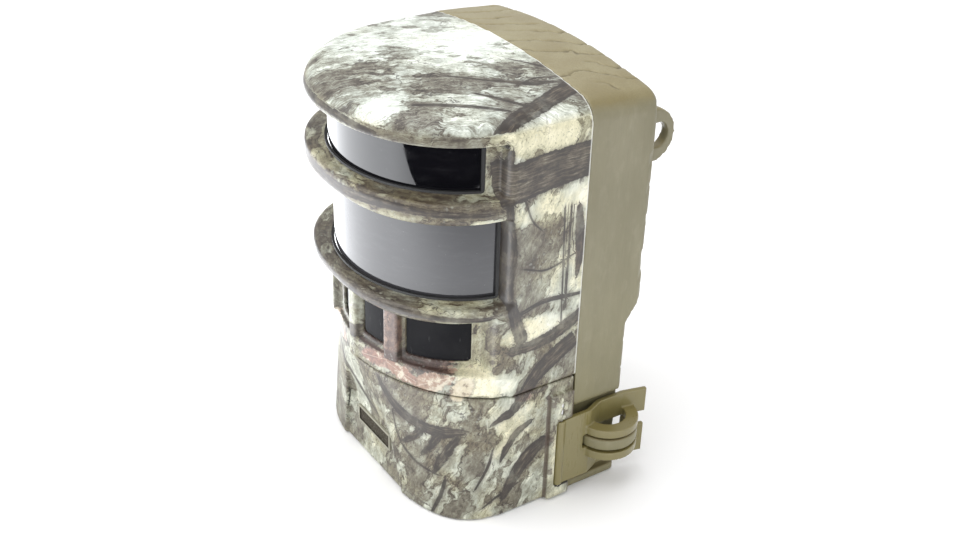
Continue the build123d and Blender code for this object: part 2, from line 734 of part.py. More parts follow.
def door_nameplate():
    """Plain plate with a raised border, no lettering."""
    plate = block(-17.4, 17.4, PANEL_Y - 0.9, PANEL_Y + 0.8, 18.8, 29.2)
    return plate - block(-16.0, 16.0, PANEL_Y - 1, PANEL_Y - 0.2, 20.2, 27.8)


def hinge_pin(side):
    return rod(side * HINGE_X, HINGE_Y, 4.6, 63.4, PIN_R)


def hinge_leaf():
    """Fixed leaf on the left of the housing that carries the door."""
    z0, z1 = LATCH_Z
    knuckle = rod(-HINGE_X, HINGE_Y, z0, z1, 2.6)
    arm = block(-78.3, -76.0, HINGE_Y, -1.0, z0, z1)
    foot = block(-77.9, -75.0, SEAM_Y + 0.4, -1.0, z0, z1)
    leaf = knuckle + arm + foot
    return leaf - rod(-HINGE_X, HINGE_Y, z0 - 1, z1 + 1, PIN_R + 0.03)


# -------------------------------------------------------------------- latch
def eye_ring(z0, z1):
    ring = rod(74, EYE_Y, z0, z1, 17.4) - rod(74, EYE_Y, z0 - 1, z1 + 1, 10.4)
    return ring & block(73.2, 95, EYE_Y - 20, EYE_Y + 20, z0, z1)


def latch_plate():
    z0, z1 = LATCH_Z
    outline = Polyline(
        (HINGE_X - 1.2, HINGE_Y),
        (HINGE_X - 1.2, -6.5),
        (71.6, 3.0),
        (71.6, 20.0),
        (75.0, 34.0),
        (77.4, 33.4),
        (74.1, 19.6),
        (74.1, 4.2),
        (HINGE_X + 1.4, -5.2),
        (HINGE_X + 1.4, HINGE_Y),
        close=True,
    )
    plate = extrude(make_face(outline), z1 - z0, dir=(0, 0, 1))
    plate = Pos(0, 0, z0) * plate
    plate = plate + rod(HINGE_X, HINGE_Y, z0, z1, 2.6)
    plate = plate - rod(HINGE_X, HINGE_Y, z0 - 1, z1 + 1, PIN_R + 0.03)
    plate = plate - block(60, 100, EYE_Y - 18.4, 60, *SLOT_Z)
    return plate + eye_ring(*ARC_TOP_Z) + eye_ring(*ARC_LOW_Z)


# --------------------------------------------------------------- underside
def tripod_insert():
    return rod(0, 0, 0, 10.4, 4.6) - rod(0, 0, -1, 9.0, 3.175)


def dc_jack():
    sleeve = rod(37, 0, 4.0, 8.5, 3.95) - rod(37, 0, 3, 7.5, 2.75)
    return sleeve + rod(37, 0, 4.6, 8.0, 1.0) + rod(37, 0, 8.4, 10.9, 2.1)


def jack_plug():
    plug = rod(37, 0, 0.2, 3.6, 3.6) - block(35, 39, -0.6, 0.6, 0, 0.9)
    return plug


def panel_gasket():
    """Seal around the battery bay and the control panel, inside the door."""
    y0 = CHASSIS_Y[0]
    lower = block(-CHASSIS_X, CHASSIS_X, y0 - 1.0, y0, CHASSIS_Z[0], SHELF_Z + 2)
    lower = lower - block(-58.2, 58.2, y0 - 2, y0 + 1, CHASSIS_Z[0] + 1.9, SHELF_Z)
    upper = block(-58.4, 58.4, y0 - 1.0, y0, SHELF_Z + 1.9, 74.0)
    upper = upper - block(-56.7, 56.7, y0 - 2, y0 + 1, SHELF_Z + 2, 72.2)
    return lower + upper


# --------------------------------------------------------------------- build
def main():
    save("rear_housing", rear_housing())
    save("case_screws", *case_screws())
    save("front_bezel", front_bezel())
    save("flash_window", window_sheet(FLASH_A, FLASH_B, FLASH_Z, FLASH_TURN))
    save("lens_window", window_sheet(LENSW_A, LENSW_B, LENSW_Z, LENSW_TURN))
    save("flash_gasket", window_gasket(FLASH_A, FLASH_B, FLASH_Z, FLASH_TURN))
    save("lens_gasket", window_gasket(LENSW_A, LENSW_B, LENSW_Z, LENSW_TURN))
    for name, (turn0, turn1) in zip(PIR_NAMES, PIR_TURNS):
        lens = sheet(PIR_A - 1.0, PIR_B - 1.0, 1.2, PIR_Z[0] - 1.5, PIR_Z[1] - 1.0,
                     turn0 - 1.5, turn1 + 1.5)
        save(f"pir_lens_{name}", lens)
    for name, turn in LED_TURNS.items():
        save(f"ir_board_{name}", ir_board(turn)[0])
    save("ir_leds", *ir_leds())
    save("turret_drum", turret_drum())
    save("lens_barrel", lens_barrel())
    save("lens_glass", lens_glass())
    save("image_sensor_board", sensor_board())
    save("turret_shaft", turret_shaft())
    save("turret_motor", turret_motor())
    save("turret_base", turret_base())
    save("main_board", main_board())
    save("board_posts", *board_posts())
    save("main_board_chips", *main_board_chips())
    save("pir_board_left", pir_board(-1)[0])
    save("pir_board_right", pir_board(1)[0])
    save("pir_sensors", *pir_sensors())
    save("chassis", chassis() + panel_bosses())
    save("control_panel", control_panel())
    save("panel_screws", *panel_screws())
    save("panel_board", panel_board())
    save("panel_gasket", panel_gasket())
    save("lcd_screen", lcd_screen())
    for name, (x, z) in BUTTONS.items():
        save(name, button(x, z))
    save("power_switch", power_switch())
    save("sd_slot", sd_slot())
    save("sd_card", sd_card())
    save("usb_port", usb_port())
    save("battery_tray", battery_tray())
    save("battery_cells", *battery_cells())
    save("battery_contacts", *battery_contacts())
    save("front_door", front_door())
    save("door_nameplate", door_nameplate())
    save("door_hinge_leaf", hinge_leaf())
    save("door_hinge_pin", hinge_pin(-1))
    save("latch_pin", hinge_pin(1))
    save("latch_plate", latch_plate())
    save("tripod_insert", tripod_insert())
    save("dc_jack", dc_jack())
    save("jack_plug", jack_plug())


if __name__ == "__main__":
    main()
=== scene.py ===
"""Looks of the panoramic trail camera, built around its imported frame."""
import math

import bmesh
import bpy
import numpy as np
from mathutils import Matrix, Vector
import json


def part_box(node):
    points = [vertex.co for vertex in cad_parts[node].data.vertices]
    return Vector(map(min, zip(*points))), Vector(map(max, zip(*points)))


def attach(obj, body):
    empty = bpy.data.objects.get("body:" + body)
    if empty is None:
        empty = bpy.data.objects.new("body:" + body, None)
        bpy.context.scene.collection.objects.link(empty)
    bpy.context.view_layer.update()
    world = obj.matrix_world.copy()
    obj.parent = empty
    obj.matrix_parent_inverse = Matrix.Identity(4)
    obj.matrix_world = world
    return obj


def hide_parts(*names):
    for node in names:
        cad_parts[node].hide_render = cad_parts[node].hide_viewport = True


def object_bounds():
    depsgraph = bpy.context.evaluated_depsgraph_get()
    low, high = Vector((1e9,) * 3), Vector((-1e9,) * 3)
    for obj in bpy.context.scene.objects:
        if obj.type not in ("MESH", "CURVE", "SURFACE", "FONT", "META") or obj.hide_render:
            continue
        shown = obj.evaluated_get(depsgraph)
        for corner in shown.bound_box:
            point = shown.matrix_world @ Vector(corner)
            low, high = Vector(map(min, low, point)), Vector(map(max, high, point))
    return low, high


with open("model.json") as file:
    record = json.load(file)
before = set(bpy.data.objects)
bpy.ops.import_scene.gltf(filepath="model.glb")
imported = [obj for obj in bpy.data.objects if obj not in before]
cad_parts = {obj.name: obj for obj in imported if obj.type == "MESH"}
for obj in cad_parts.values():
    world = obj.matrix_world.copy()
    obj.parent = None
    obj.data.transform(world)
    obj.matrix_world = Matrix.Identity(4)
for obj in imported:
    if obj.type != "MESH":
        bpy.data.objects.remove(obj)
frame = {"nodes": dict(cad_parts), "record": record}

NODES = frame["nodes"]
CAD_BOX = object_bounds()
MM = 0.001

# where things are on the object, in millimetres
FRONT_HALF_WIDTH = 65.0  # of the front's curve, seen from above
FRONT_DEPTH = 60.0
FRONT_RADIUS = 62.0      # of the round curve nearest to it
ARC_Y = -49.7            # the sides end and the curved front starts
SIDE_LENGTH = 97.4       # way round the front, from the middle to the side
HOOD_Z = 215.0           # upward faces above this are the hood's top
RIM_BANDS = ((205.0, 240.0), (177.0, 190.5), (122.5, 131.5))   # z of hood edge and visors
RIM_Y = -58.7            # the rims are in front of this
SENSOR_FLOOR = (86.0, 93.0)
BEZEL_HIGHLIGHT_Y = (-16.4, -15.7)      # y of the edge at the seam, where a pale highlight is painted
LATCH_ZONE_Z = 60.0      # the latch sits below this, on a plain side
DOOR_TOP_Z = 74.0
DOOR_INSIDE_Z = 40.0     # upward faces of the door below this are inside it
STRIP_X = (72.5, 73.5)   # the hinge strip on the door's right side starts
STRIP_TOP_Z = (68.6, 69.4)
STRIP_EDGES_Y = (-32.3, -18.4)
NOTCH_Y, NOTCH_PITCH = -31.0, 11.0
CASE_SCREWS = ((-62, 205), (62, 205), (-62, 130), (62, 130))   # x, z
CELL_START_X, CELL_PITCH = -51.5, 53.0
SCREEN_X, SCREEN_Z = -16.0, 58.0
FAR = 99.0               # stands for "nothing near" in the layout


# ------------------------------------------------------------------- noise
def hashed(ix, iy, iz, seed):
    """A repeatable number from 0 to 1 for each lattice point."""
    h = (ix * 374761393 + iy * 668265263 + iz * 1440662683 + seed * 1274126177) & 0xFFFFFFFF
    h = ((h ^ (h >> 13)) * 1274126177) & 0xFFFFFFFF
    return ((h ^ (h >> 16)) & 0xFFFFFF) / float(0x1000000)


def value_noise(p, seed=0):
    """Smooth noise from 0 to 1, one unit per lattice cell."""
    cell = np.floor(p).astype(np.int64)
    t = p - cell
    t = t * t * (3 - 2 * t)
    total = np.zeros(len(p))
    for corner in np.ndindex(2, 2, 2):
        weight = np.ones(len(p))
        for axis, high in enumerate(corner):
            weight = weight * (t[:, axis] if high else 1 - t[:, axis])
        index = cell + np.array(corner)
        total += weight * hashed(index[:, 0], index[:, 1], index[:, 2], seed)
    return total


def layered(p, octaves=3, seed=0):
    total, weight, whole = 0.0, 1.0, 0.0
    for octave in range(octaves):
        total = total + weight * value_noise(p * 2 ** octave, seed + 31 * octave)
        whole += weight
        weight *= 0.5
    return total / whole


def smooth(x, low, high):
    t = np.clip((x - low) / (high - low), 0, 1)
    return t * t * (3 - 2 * t)


# ------------------------------------------------------------------ meshes
def collect(obj):
    """Vertex places in millimetres and vertex normals."""
    count = len(obj.data.vertices)
    places = np.empty(count * 3)
    obj.data.vertices.foreach_get("co", places)
    normals = np.empty(count * 3)
    obj.data.vertices.foreach_get("normal", normals)
    return places.reshape(-1, 3) / MM, normals.reshape(-1, 3)


def store(obj, places):
    obj.data.vertices.foreach_set("co", (places * MM).ravel())
    obj.data.update()


def bake_modifiers(obj):
    graph = bpy.context.evaluated_depsgraph_get()
    mesh = bpy.data.meshes.new_from_object(obj.evaluated_get(graph))
    obj.modifiers.clear()
    obj.data = mesh


def shell(name, node, body, slot, voxel, look):
    """A finer copy of a CAD node with softened edges, which stands for it."""
    source = NODES[node]
    mesh = bpy.data.meshes.new(name)
    work = bmesh.new()
    work.from_mesh(source.data)
    bmesh.ops.remove_doubles(work, verts=work.verts, dist=1e-6)
    work.to_mesh(mesh)
    work.free()
    obj = bpy.data.objects.new(name, mesh)
    bpy.context.scene.collection.objects.link(obj)
    remesh = obj.modifiers.new("remesh", "REMESH")
    remesh.mode = "VOXEL"
    remesh.voxel_size = voxel * MM
    soften = obj.modifiers.new("soften", "SMOOTH")
    soften.factor = 0.5
    soften.iterations = 3
    bake_modifiers(obj)
    obj.data.materials.clear()
    obj.data.materials.append(look)
    obj.data.polygons.foreach_set("use_smooth", [True] * len(obj.data.polygons))
    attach(obj, body)
    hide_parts(node)
    return obj


def keep_inside(places):
    low = np.array(CAD_BOX[0]) / MM
    high = np.array(CAD_BOX[1]) / MM
    return np.clip(places, low, high)


def trim(obj):
    """Take back what remeshing left outside the CAD box."""
    store(obj, keep_inside(collect(obj)[0]))


# (place on the ramp, colour), from dark brown to bleached wood
BARK = [
    (0.00, (0.026, 0.020, 0.016)),
    (0.20, (0.072, 0.058, 0.042)),
    (0.38, (0.168, 0.155, 0.114)),
    (0.54, (0.292, 0.298, 0.235)),
    (0.70, (0.470, 0.488, 0.405)),
    (0.86, (0.690, 0.705, 0.600)),
    (1.00, (0.860, 0.880, 0.810)),
]


# ------------------------------------------------------------ node shorthand
class Look:
    """A material being built, with short names for the nodes it uses."""

    def __init__(self, name):
        self.material = bpy.data.materials.new(name)
        self.material.use_nodes = True
        self.tree = self.material.node_tree
        self.tree.nodes.clear()

    def node(self, kind, inputs=None, out=0, **settings):
        node = self.tree.nodes.new("ShaderNode" + kind)
        for key, value in settings.items():
            setattr(node, key, value)
        for key, value in (inputs or {}).items():
            if isinstance(value, bpy.types.NodeSocket):
                self.tree.links.new(value, node.inputs[key])
            else:
                node.inputs[key].default_value = value
        return node.outputs[out] if node.outputs else None

    def place(self):
        """Object coordinates in millimetres."""
        return self.scaled(self.node("TexCoord", out=3), (1 / MM,) * 3)

    def vector_attribute(self, name):
        return self.node("Attribute", out=1, attribute_name=name)

    def attribute(self, name):
        return self.node("Attribute", out=2, attribute_name=name)

    def upward(self):
        """How far the surface faces up, from -1 to 1."""
        return self.parts(self.node("NewGeometry", out=1))[2]

    def sharpness(self):
        """High on convex edges, 0.5 on flat surfaces."""
        return self.node("NewGeometry", out=7)

    def parts(self, vector):
        node = self.tree.nodes.new("ShaderNodeSeparateXYZ")
        self.tree.links.new(vector, node.inputs[0])
        return tuple(node.outputs)

    def joined(self, x, y, z=0.0):
        return self.node("CombineXYZ", {0: x, 1: y, 2: z})

    def scaled(self, vector, by):
        return self.node("VectorMath", {0: vector, 1: by}, operation="MULTIPLY")

    def added(self, vector, by):
        return self.node("VectorMath", {0: vector, 1: by}, operation="ADD")

    def math(self, operation, a, b=0.0, c=0.0):
        return self.node("Math", {0: a, 1: b, 2: c}, operation=operation)

    def noise(self, vector, scale=1.0, detail=3.0, rough=0.55, bend=0.0, out=0):
        return self.node("TexNoise", {"Vector": vector, "Scale": scale, "Detail": detail,
                                      "Roughness": rough, "Distortion": bend}, out=out)

    def cells(self, vector, feature="DISTANCE_TO_EDGE", scale=1.0):
        return self.node("TexVoronoi", {"Vector": vector, "Scale": scale}, feature=feature)

    def rise(self, value, low, high, start=0.0, end=1.0):
        return self.node("MapRange", {0: value, 1: low, 2: high, 3: start, 4: end},
                         interpolation_type="SMOOTHSTEP")

    def near(self, value, level, full, none):
        """1 within full of the level, 0 beyond none."""
        away = self.math("ABSOLUTE", self.math("SUBTRACT", value, level))
        return self.rise(away, full, none, 1, 0)

    def mix(self, factor, a, b, blend="MIX"):
        return self.node("Mix", {0: factor, 6: a, 7: b}, out=2,
                         data_type="RGBA", blend_type=blend)

    def weighed(self, terms, start):
        """Sum of values times weights, from a starting number."""
        total = start
        for value, weight in terms:
            total = self.math("MULTIPLY_ADD", value, weight, total)
        return total

    def bark_ramp(self, value):
        ramp = self.tree.nodes.new("ShaderNodeValToRGB")
        self.tree.links.new(value, ramp.inputs[0])
        stops = ramp.color_ramp.elements
        while len(stops) < len(BARK):
            stops.new(0.5)
        for stop, (at, colour) in zip(stops, BARK):
            stop.position = at
            stop.color = (*colour, 1.0)
        return ramp.outputs[0]

    def times(self, a, b):
        return self.math("MULTIPLY", a, b)

    def bump(self, height, distance):
        """Relief whose height of 1 stands for so many millimetres."""
        return self.node("Bump", {"Height": height, "Distance": distance * MM, "Strength": 1.0})

    def finish(self, colour, rough, normal=None, **constants):
        inputs = {"Base Color": colour, "Roughness": rough}
        if normal is not None:
            inputs["Normal"] = normal
        inputs.update({key.replace("_", " "): value for key, value in constants.items()})
        shader = self.node("BsdfPrincipled", inputs)
        self.node("OutputMaterial", {"Surface": shader})
        return self.material


def rgb(r, g, b):
    return (r, g, b, 1.0)


# -------------------------------------------------------------- plain looks
def moulded(name, colour, dark, rough=0.5, grain=0.12, shine=0.5):
    """Textured moulding: fine spark-eroded grain, faint mottling, scuffs."""
    look = Look(name)
    place = look.place()
    mottle = look.noise(place, 0.05, 4)
    fine = look.noise(place, 2.0, 2)
    scuff = look.noise(look.scaled(place, (0.35, 0.35, 0.06)), 1.0, 4, 0.7)
    tone = look.rise(mottle, 0.3, 0.7)
    base = look.mix(tone, rgb(*dark), rgb(*colour))
    base = look.mix(look.rise(scuff, 0.62, 0.8, 0, 0.16), base, rgb(0.6, 0.6, 0.58))
    gloss = look.rise(look.math("ADD", look.times(mottle, 0.6), look.times(fine, 0.4)),
                      0.3, 0.7, rough - 0.08, rough + 0.08)
    height = look.math("ADD", look.times(fine, 0.5), look.times(scuff, 0.2))
    return look.finish(base, gloss, look.bump(height, grain), Specular_IOR_Level=shine)


def window(name, colour, rough):
    """Polished tinted plastic with faint moulding waves and dust."""
    look = Look(name)
    place = look.place()
    wave = look.noise(look.scaled(place, (0.03, 0.03, 0.02)), 1.0, 1)
    dust = look.cells(place, "F1", 0.55)
    specks = look.rise(dust, 0.04, 0.07, 1, 0)
    smear = look.noise(look.scaled(place, (0.08, 0.08, 0.3)), 1.0, 4, 0.65)
    base = look.mix(look.rise(smear, 0.45, 0.75, 0, 0.4), rgb(*colour),
                    rgb(*[c * 1.25 + 0.01 for c in colour]))
    base = look.mix(look.times(specks, look.rise(smear, 0.5, 0.6)), base, rgb(0.3, 0.3, 0.3))
    gloss = look.rise(smear, 0.35, 0.8, rough, rough + 0.06)
    return look.finish(base, gloss, look.bump(wave, 0.25), IOR=1.52)


def metal(name, colour, dark, rough=0.32, brushed=(1.2, 1.2, 0.12)):
    look = Look(name)
    place = look.place()
    lines = look.noise(look.scaled(place, brushed), 3.0, 3, 0.6)
    stain = look.noise(place, 0.25, 4, 0.6)
    base = look.mix(look.rise(stain, 0.4, 0.7), rgb(*colour), rgb(*dark))
    gloss = look.rise(look.math("ADD", look.times(lines, 0.5), look.times(stain, 0.5)),
                      0.35, 0.65, rough - 0.1, rough + 0.12)
    return look.finish(base, gloss, look.bump(lines, 0.03), Metallic=1.0)


def board(name):
    """Green solder mask with copper runs, vias and pads."""
    look = Look(name)
    place = look.place()
    x, y, z = look.parts(place)
    flat = look.joined(look.math("ADD", x, look.times(y, 0.6)), z)
    runs = look.node("TexVoronoi", {"Vector": look.scaled(flat, (0.16, 0.32, 1)), "Scale": 1.0},
                     feature="F1", distance="CHEBYCHEV")
    stripe = look.math("PINGPONG", runs, 0.09)
    track = look.rise(stripe, 0.05, 0.06)
    pad = look.cells(flat, "F1", 0.4)
    hole = look.rise(pad, 0.1, 0.13, 1, 0)
    ring = look.rise(pad, 0.2, 0.23, 1, 0)
    tint = look.noise(place, 0.08, 3)
    mask = look.mix(look.rise(tint, 0.3, 0.7), rgb(0.012, 0.085, 0.035), rgb(0.02, 0.13, 0.05))
    base = look.mix(track, mask, rgb(0.05, 0.23, 0.09))
    base = look.mix(ring, base, rgb(0.72, 0.55, 0.22))
    base = look.mix(hole, base, rgb(0.02, 0.02, 0.02))
    height = look.math("ADD", look.times(track, 0.5), ring)
    return look.finish(base, look.rise(tint, 0.3, 0.7, 0.28, 0.42), look.bump(height, 0.08),
                       Coat_Weight=0.3)


def battery_wrap(name):
    """Dark sleeve with a copper band and a bare crimped end; no print."""
    look = Look(name)
    place = look.place()
    x, _, _ = look.parts(place)
    along = look.math("MODULO", look.math("SUBTRACT", x, CELL_START_X - CELL_PITCH), CELL_PITCH)
    band = look.rise(along, 33.6, 33.9)
    rim = look.rise(along, 46.8, 47.0)
    line = look.times(look.rise(along, 32.2, 32.4), look.rise(along, 32.9, 33.1, 1, 0))
    worn = look.noise(look.scaled(place, (0.5, 2, 2)), 1.0, 4, 0.7)
    base = look.mix(band, rgb(0.018, 0.018, 0.02), rgb(0.55, 0.27, 0.09))
    base = look.mix(line, base, rgb(0.7, 0.7, 0.68))
    base = look.mix(look.rise(worn, 0.64, 0.74, 0, 0.5), base, rgb(0.35, 0.34, 0.32))
    base = look.mix(rim, base, rgb(0.66, 0.65, 0.62))
    gloss = look.rise(worn, 0.3, 0.7, 0.22, 0.42)
    return look.finish(base, gloss, look.bump(worn, 0.05), Metallic=0.35)


def display(name):
    """Unlit display: grey-green field, faint cell grid, dark border."""
    look = Look(name)
    place = look.place()
    x, _, z = look.parts(place)
    grid = look.math("MAXIMUM", look.rise(look.math("PINGPONG", x, 0.25), 0.2, 0.24),
                     look.rise(look.math("PINGPONG", z, 0.25), 0.2, 0.24))
    inside = look.times(look.near(x, SCREEN_X, 16.2, 16.5), look.near(z, SCREEN_Z, 8.6, 8.9))
    tint = look.noise(place, 0.1, 3)
    field = look.mix(look.rise(tint, 0.3, 0.7), rgb(0.16, 0.19, 0.13), rgb(0.20, 0.23, 0.16))
    field = look.mix(look.times(grid, 0.3), field, rgb(0.08, 0.1, 0.07))
    base = look.mix(inside, rgb(0.012, 0.012, 0.014), field)
    return look.finish(base, look.rise(tint, 0.3, 0.7, 0.08, 0.16), look.bump(tint, 0.02),
                       Coat_Weight=0.6)


def glass(name):
    """Coated lens glass over a dark barrel, with a painted reflection tint of its coating."""
    look = Look(name)
    place = look.place()
    facing = look.node("LayerWeight", {"Blend": 0.4}, out=1)
    ring = look.noise(place, 0.4, 2)
    # painted reflection: the coating's tint turns from purple to teal toward glancing angles
    coating_reflection_tint = look.mix(look.rise(facing, 0.1, 0.7), rgb(0.02, 0.015, 0.05), rgb(0.05, 0.11, 0.10))
    base = look.mix(look.rise(ring, 0.4, 0.7, 0, 0.3), coating_reflection_tint, rgb(0.08, 0.02, 0.09))
    return look.finish(base, look.rise(ring, 0.3, 0.7, 0.02, 0.06), look.bump(ring, 0.01),
                       Coat_Weight=1.0, IOR=1.7)


# ---------------------------------------------------------------- olive look
def olive(name, glossy=0.0, warm=0.0):
    """Olive moulding with a fine upright grain and worn raised edges."""
    look = Look(name)
    place = look.place()
    x, _, z = look.parts(place)
    # painted light: upward faces take a lighter cap colour than the sides, as though lit from above
    top = look.rise(look.upward(), 0.35, 0.8)
    low = look.rise(z, 20.0, 205.0, 1, 0)
    grain = look.noise(look.scaled(place, (1.1, 1.1, 0.09)), 1.0, 5, 0.62)
    cloud = look.noise(look.scaled(place, (0.05, 0.05, 0.02)), 1.0, 4, 0.6)
    pore = look.noise(place, 1.7, 3, 0.6)
    side = look.mix(low, rgb(0.212, 0.192, 0.118), rgb(0.200, 0.180, 0.090))
    side = look.mix(look.rise(cloud, 0.3, 0.7, 0, 0.5), side, rgb(0.155, 0.140, 0.078))
    smudge = look.noise(look.scaled(place, (0.16, 0.16, 0.07)), 1.0, 5, 0.68)
    side = look.mix(look.rise(smudge, 0.50, 0.70, 0, 0.13), side, rgb(0.36, 0.34, 0.25))
    cap = look.mix(look.rise(cloud, 0.3, 0.7), rgb(0.225, 0.190, 0.100), rgb(0.280, 0.250, 0.150))
    cap = look.mix(look.rise(x, 48.0, 72.0, 0.0, 0.55), cap, rgb(0.165, 0.132, 0.045))
    cap = look.mix(look.rise(pore, 0.4, 0.7, 0, 0.3), cap, rgb(0.13, 0.10, 0.05))
    # painted light: the lighter cap colour goes on upward faces
    base = look.mix(top, side, cap)
    base = look.mix(look.rise(grain, 0.35, 0.65, 0.0, 0.06), base, rgb(0.12, 0.105, 0.06))
    if warm:
        base = look.mix(warm, base, rgb(0.190, 0.158, 0.048))
    edge = look.rise(look.sharpness(), 0.53, 0.60)
    worn = look.times(edge, look.rise(look.noise(place, 0.35, 4, 0.7), 0.42, 0.62))
    base = look.mix(look.times(worn, 0.4), base, rgb(0.40, 0.37, 0.25))
    # painted shade: the pressed bark grooves darken with their depth
    groove_shade = look.rise(look.attribute("depth"), 0.15, 0.9)
    base = look.mix(look.times(groove_shade, 0.6), base, rgb(0.075, 0.058, 0.028))
    gloss = look.rise(look.math("ADD", look.times(grain, 0.5), look.times(cloud, 0.5)),
                      0.35, 0.65, 0.36 - 0.1 * glossy, 0.52 - 0.12 * glossy)
    height = look.weighed([(grain, 0.15), (pore, 0.4), (smudge, 1.2)], 0.0)
    return look.finish(base, gloss, look.bump(height, 0.13 - 0.07 * glossy),
                       Coat_Weight=0.25 * glossy, Coat_Roughness=0.2)


# ----------------------------------------------------------------- camo look
def camo(name):
    """Printed bark and branches under a satin clear coat.

    Vertex attributes carry the layout: which way the bark runs, limbs, leaves, tints.
    """
    look = Look(name)
    place = look.place()
    x, y, z = look.parts(place)
    grain = look.vector_attribute("grain")
    pale, dark, warm = look.parts(look.vector_attribute("tint"))

    wander = look.noise(place, 0.10, 3, 0.6, out=1)
    bent = look.added(grain, look.scaled(wander, (12.0, 9.0, 0.0)))
    fibre = look.noise(look.scaled(bent, (0.24, 1.0, 1)), 1.0, 6, 0.70)
    strand = look.noise(look.scaled(bent, (0.060, 0.26, 1)), 1.0, 5, 0.62)
    blotch = look.noise(place, 0.11, 6, 0.68)
    feather = look.noise(look.scaled(bent, (0.085, 1.5, 1)), 1.0, 6, 0.72)
    cloud = look.noise(place, 0.035, 3, 0.55)
    level = look.math("SUBTRACT", pale, dark)
    # the hood's upward faces, which take the hood's streaked print and a painted light cast, bluish
    # and less warm
    hood_top_streaks_and_cool_light = look.times(look.rise(z, 200.0, 224.0), look.rise(look.upward(), 0.35, 0.75))

    # ground: plates of bleached wood over darker bark, each with a shaded rim
    sheet = look.noise(look.scaled(bent, (0.022, 0.050, 1)), 1.0, 6, 0.64)
    plate_at = look.weighed([(sheet, 1.0), (cloud, 0.5), (level, 0.22)], -0.25)
    plate = look.rise(plate_at, 0.485, 0.555)
    rim_gap = look.math("ABSOLUTE", look.math("SUBTRACT", plate_at, 0.50))
    shaded = look.rise(rim_gap, 0.0, 0.022, 0.20, 0.0)
    texture = look.weighed([(fibre, 0.85), (strand, 0.85), (blotch, 1.15)], -1.425)
    calm = look.times(look.rise(level, 0.1, 0.6, 1.0, 0.5),
                      look.math("MULTIPLY_ADD", hood_top_streaks_and_cool_light, 0.2, 0.8))
    streaked = look.times(look.math("SUBTRACT", feather, 0.5), look.times(hood_top_streaks_and_cool_light, 1.3))
    value = look.weighed([(look.times(texture, calm), 1.0), (plate, 0.23), (level, 0.44),
                          (shaded, -1.0), (streaked, 1.0)], 0.375)
    fleck = look.times(look.rise(look.noise(place, 0.85, 4, 0.72), 0.565, 0.64),
                       look.rise(look.noise(place, 0.05, 3), 0.42, 0.56))
    value = look.math("SUBTRACT", value, look.times(fleck, 0.24))
    base = look.bark_ramp(value)
    hue = look.math("ADD", look.noise(place, 0.05, 3), look.times(warm, 0.35))
    hue = look.rise(hue, 0.40, 0.70)
    hue = look.times(hue, look.math("MULTIPLY_ADD", hood_top_streaks_and_cool_light, -0.7, 0.9))
    base = look.mix(hue, base, rgb(1.0, 0.92, 0.74), "MULTIPLY")
    # painted light: a bluish cast on the hood's upward faces
    base = look.mix(look.times(hood_top_streaks_and_cool_light, 0.9), base, rgb(0.965, 1.0, 1.09), "MULTIPLY")
    blush = look.math("ADD", look.attribute("rosy"), look.times(blotch, 0.9))
    blush = look.rise(blush, 0.85, 1.0)
    red_bark = look.mix(look.rise(value, 0.10, 0.85),
                        rgb(0.070, 0.040, 0.034), rgb(0.44, 0.275, 0.215))
    base = look.mix(look.times(blush, 0.85), base, red_bark)

    # cracked bark
    plates = look.added(grain, look.scaled(wander, (22.0, 16.0, 0.0)))
    crack = look.cells(look.scaled(plates, (0.038, 0.080, 1)))
    broken = look.rise(look.noise(place, 0.11, 3), 0.48, 0.60)
    split = look.times(look.rise(crack, 0.004, 0.026, 1, 0), broken)
    split = look.times(split, look.rise(level, 0.25, 0.55, 1.0, 0.2))
    base = look.mix(look.times(split, 0.8), base, rgb(0.045, 0.036, 0.030))
    moss = look.times(look.rise(look.cells(place, "F1", 0.42), 0.20, 0.36, 1, 0),
                      look.rise(look.noise(place, 0.07, 3), 0.54, 0.66))
    base = look.mix(look.times(moss, 0.25), base, rgb(0.56, 0.60, 0.53))

    # limbs and twigs
    ride_along, offset, near = look.parts(look.vector_attribute("limb"))
    half = look.attribute("limb_half")
    rough_edge = look.times(look.math("SUBTRACT", look.noise(place, 0.45, 4, 0.65), 0.5), 2.6)
    rough_edge = look.times(rough_edge, look.rise(half, 0.3, 3.0, 0.12, 1.0))
    reach = look.math("ADD", half, rough_edge)
    away = look.math("ABSOLUTE", offset)
    gap = look.math("SUBTRACT", away, reach)
    inside = look.times(look.rise(gap, -0.25, 0.25, 1, 0), look.rise(near, 1.2, 1.6, 1, 0))
    bark = look.joined(look.times(ride_along, 0.085), look.times(offset, 0.75), 0.0)
    ridge = look.noise(look.added(bark, look.scaled(wander, (0.9, 1.8, 0))), 1.0, 5, 0.7)
    stout = look.rise(half, 3.0, 8.0, -0.10, -0.01)
    outline = look.times(look.rise(gap, -2.6, -0.2), look.rise(half, 2.0, 6.0, 0.05, 0.30))
    ends = look.rise(look.noise(place, 0.09, 3), 0.35, 0.55, 0.70, 0.97)
    limb = look.bark_ramp(look.weighed(
        [(ridge, 1.5), (blotch, 0.9), (stout, 1.0), (outline, -1.0)], -1.04))
    limb = look.mix(look.times(look.attribute("limb_tone"), 0.8), limb,
                    rgb(1.0, 0.80, 0.70), "MULTIPLY")
    cast = look.times(look.rise(gap, 0.0, 2.0, 0.35, 0.0), look.rise(near, 2.0, 2.6, 1, 0))
    base = look.mix(cast, base, rgb(0.08, 0.065, 0.055))
    solid = look.math("MAXIMUM", ends, look.rise(half, 2.5, 5.0, 0, 0.96))
    base = look.mix(look.times(inside, solid), base, limb)

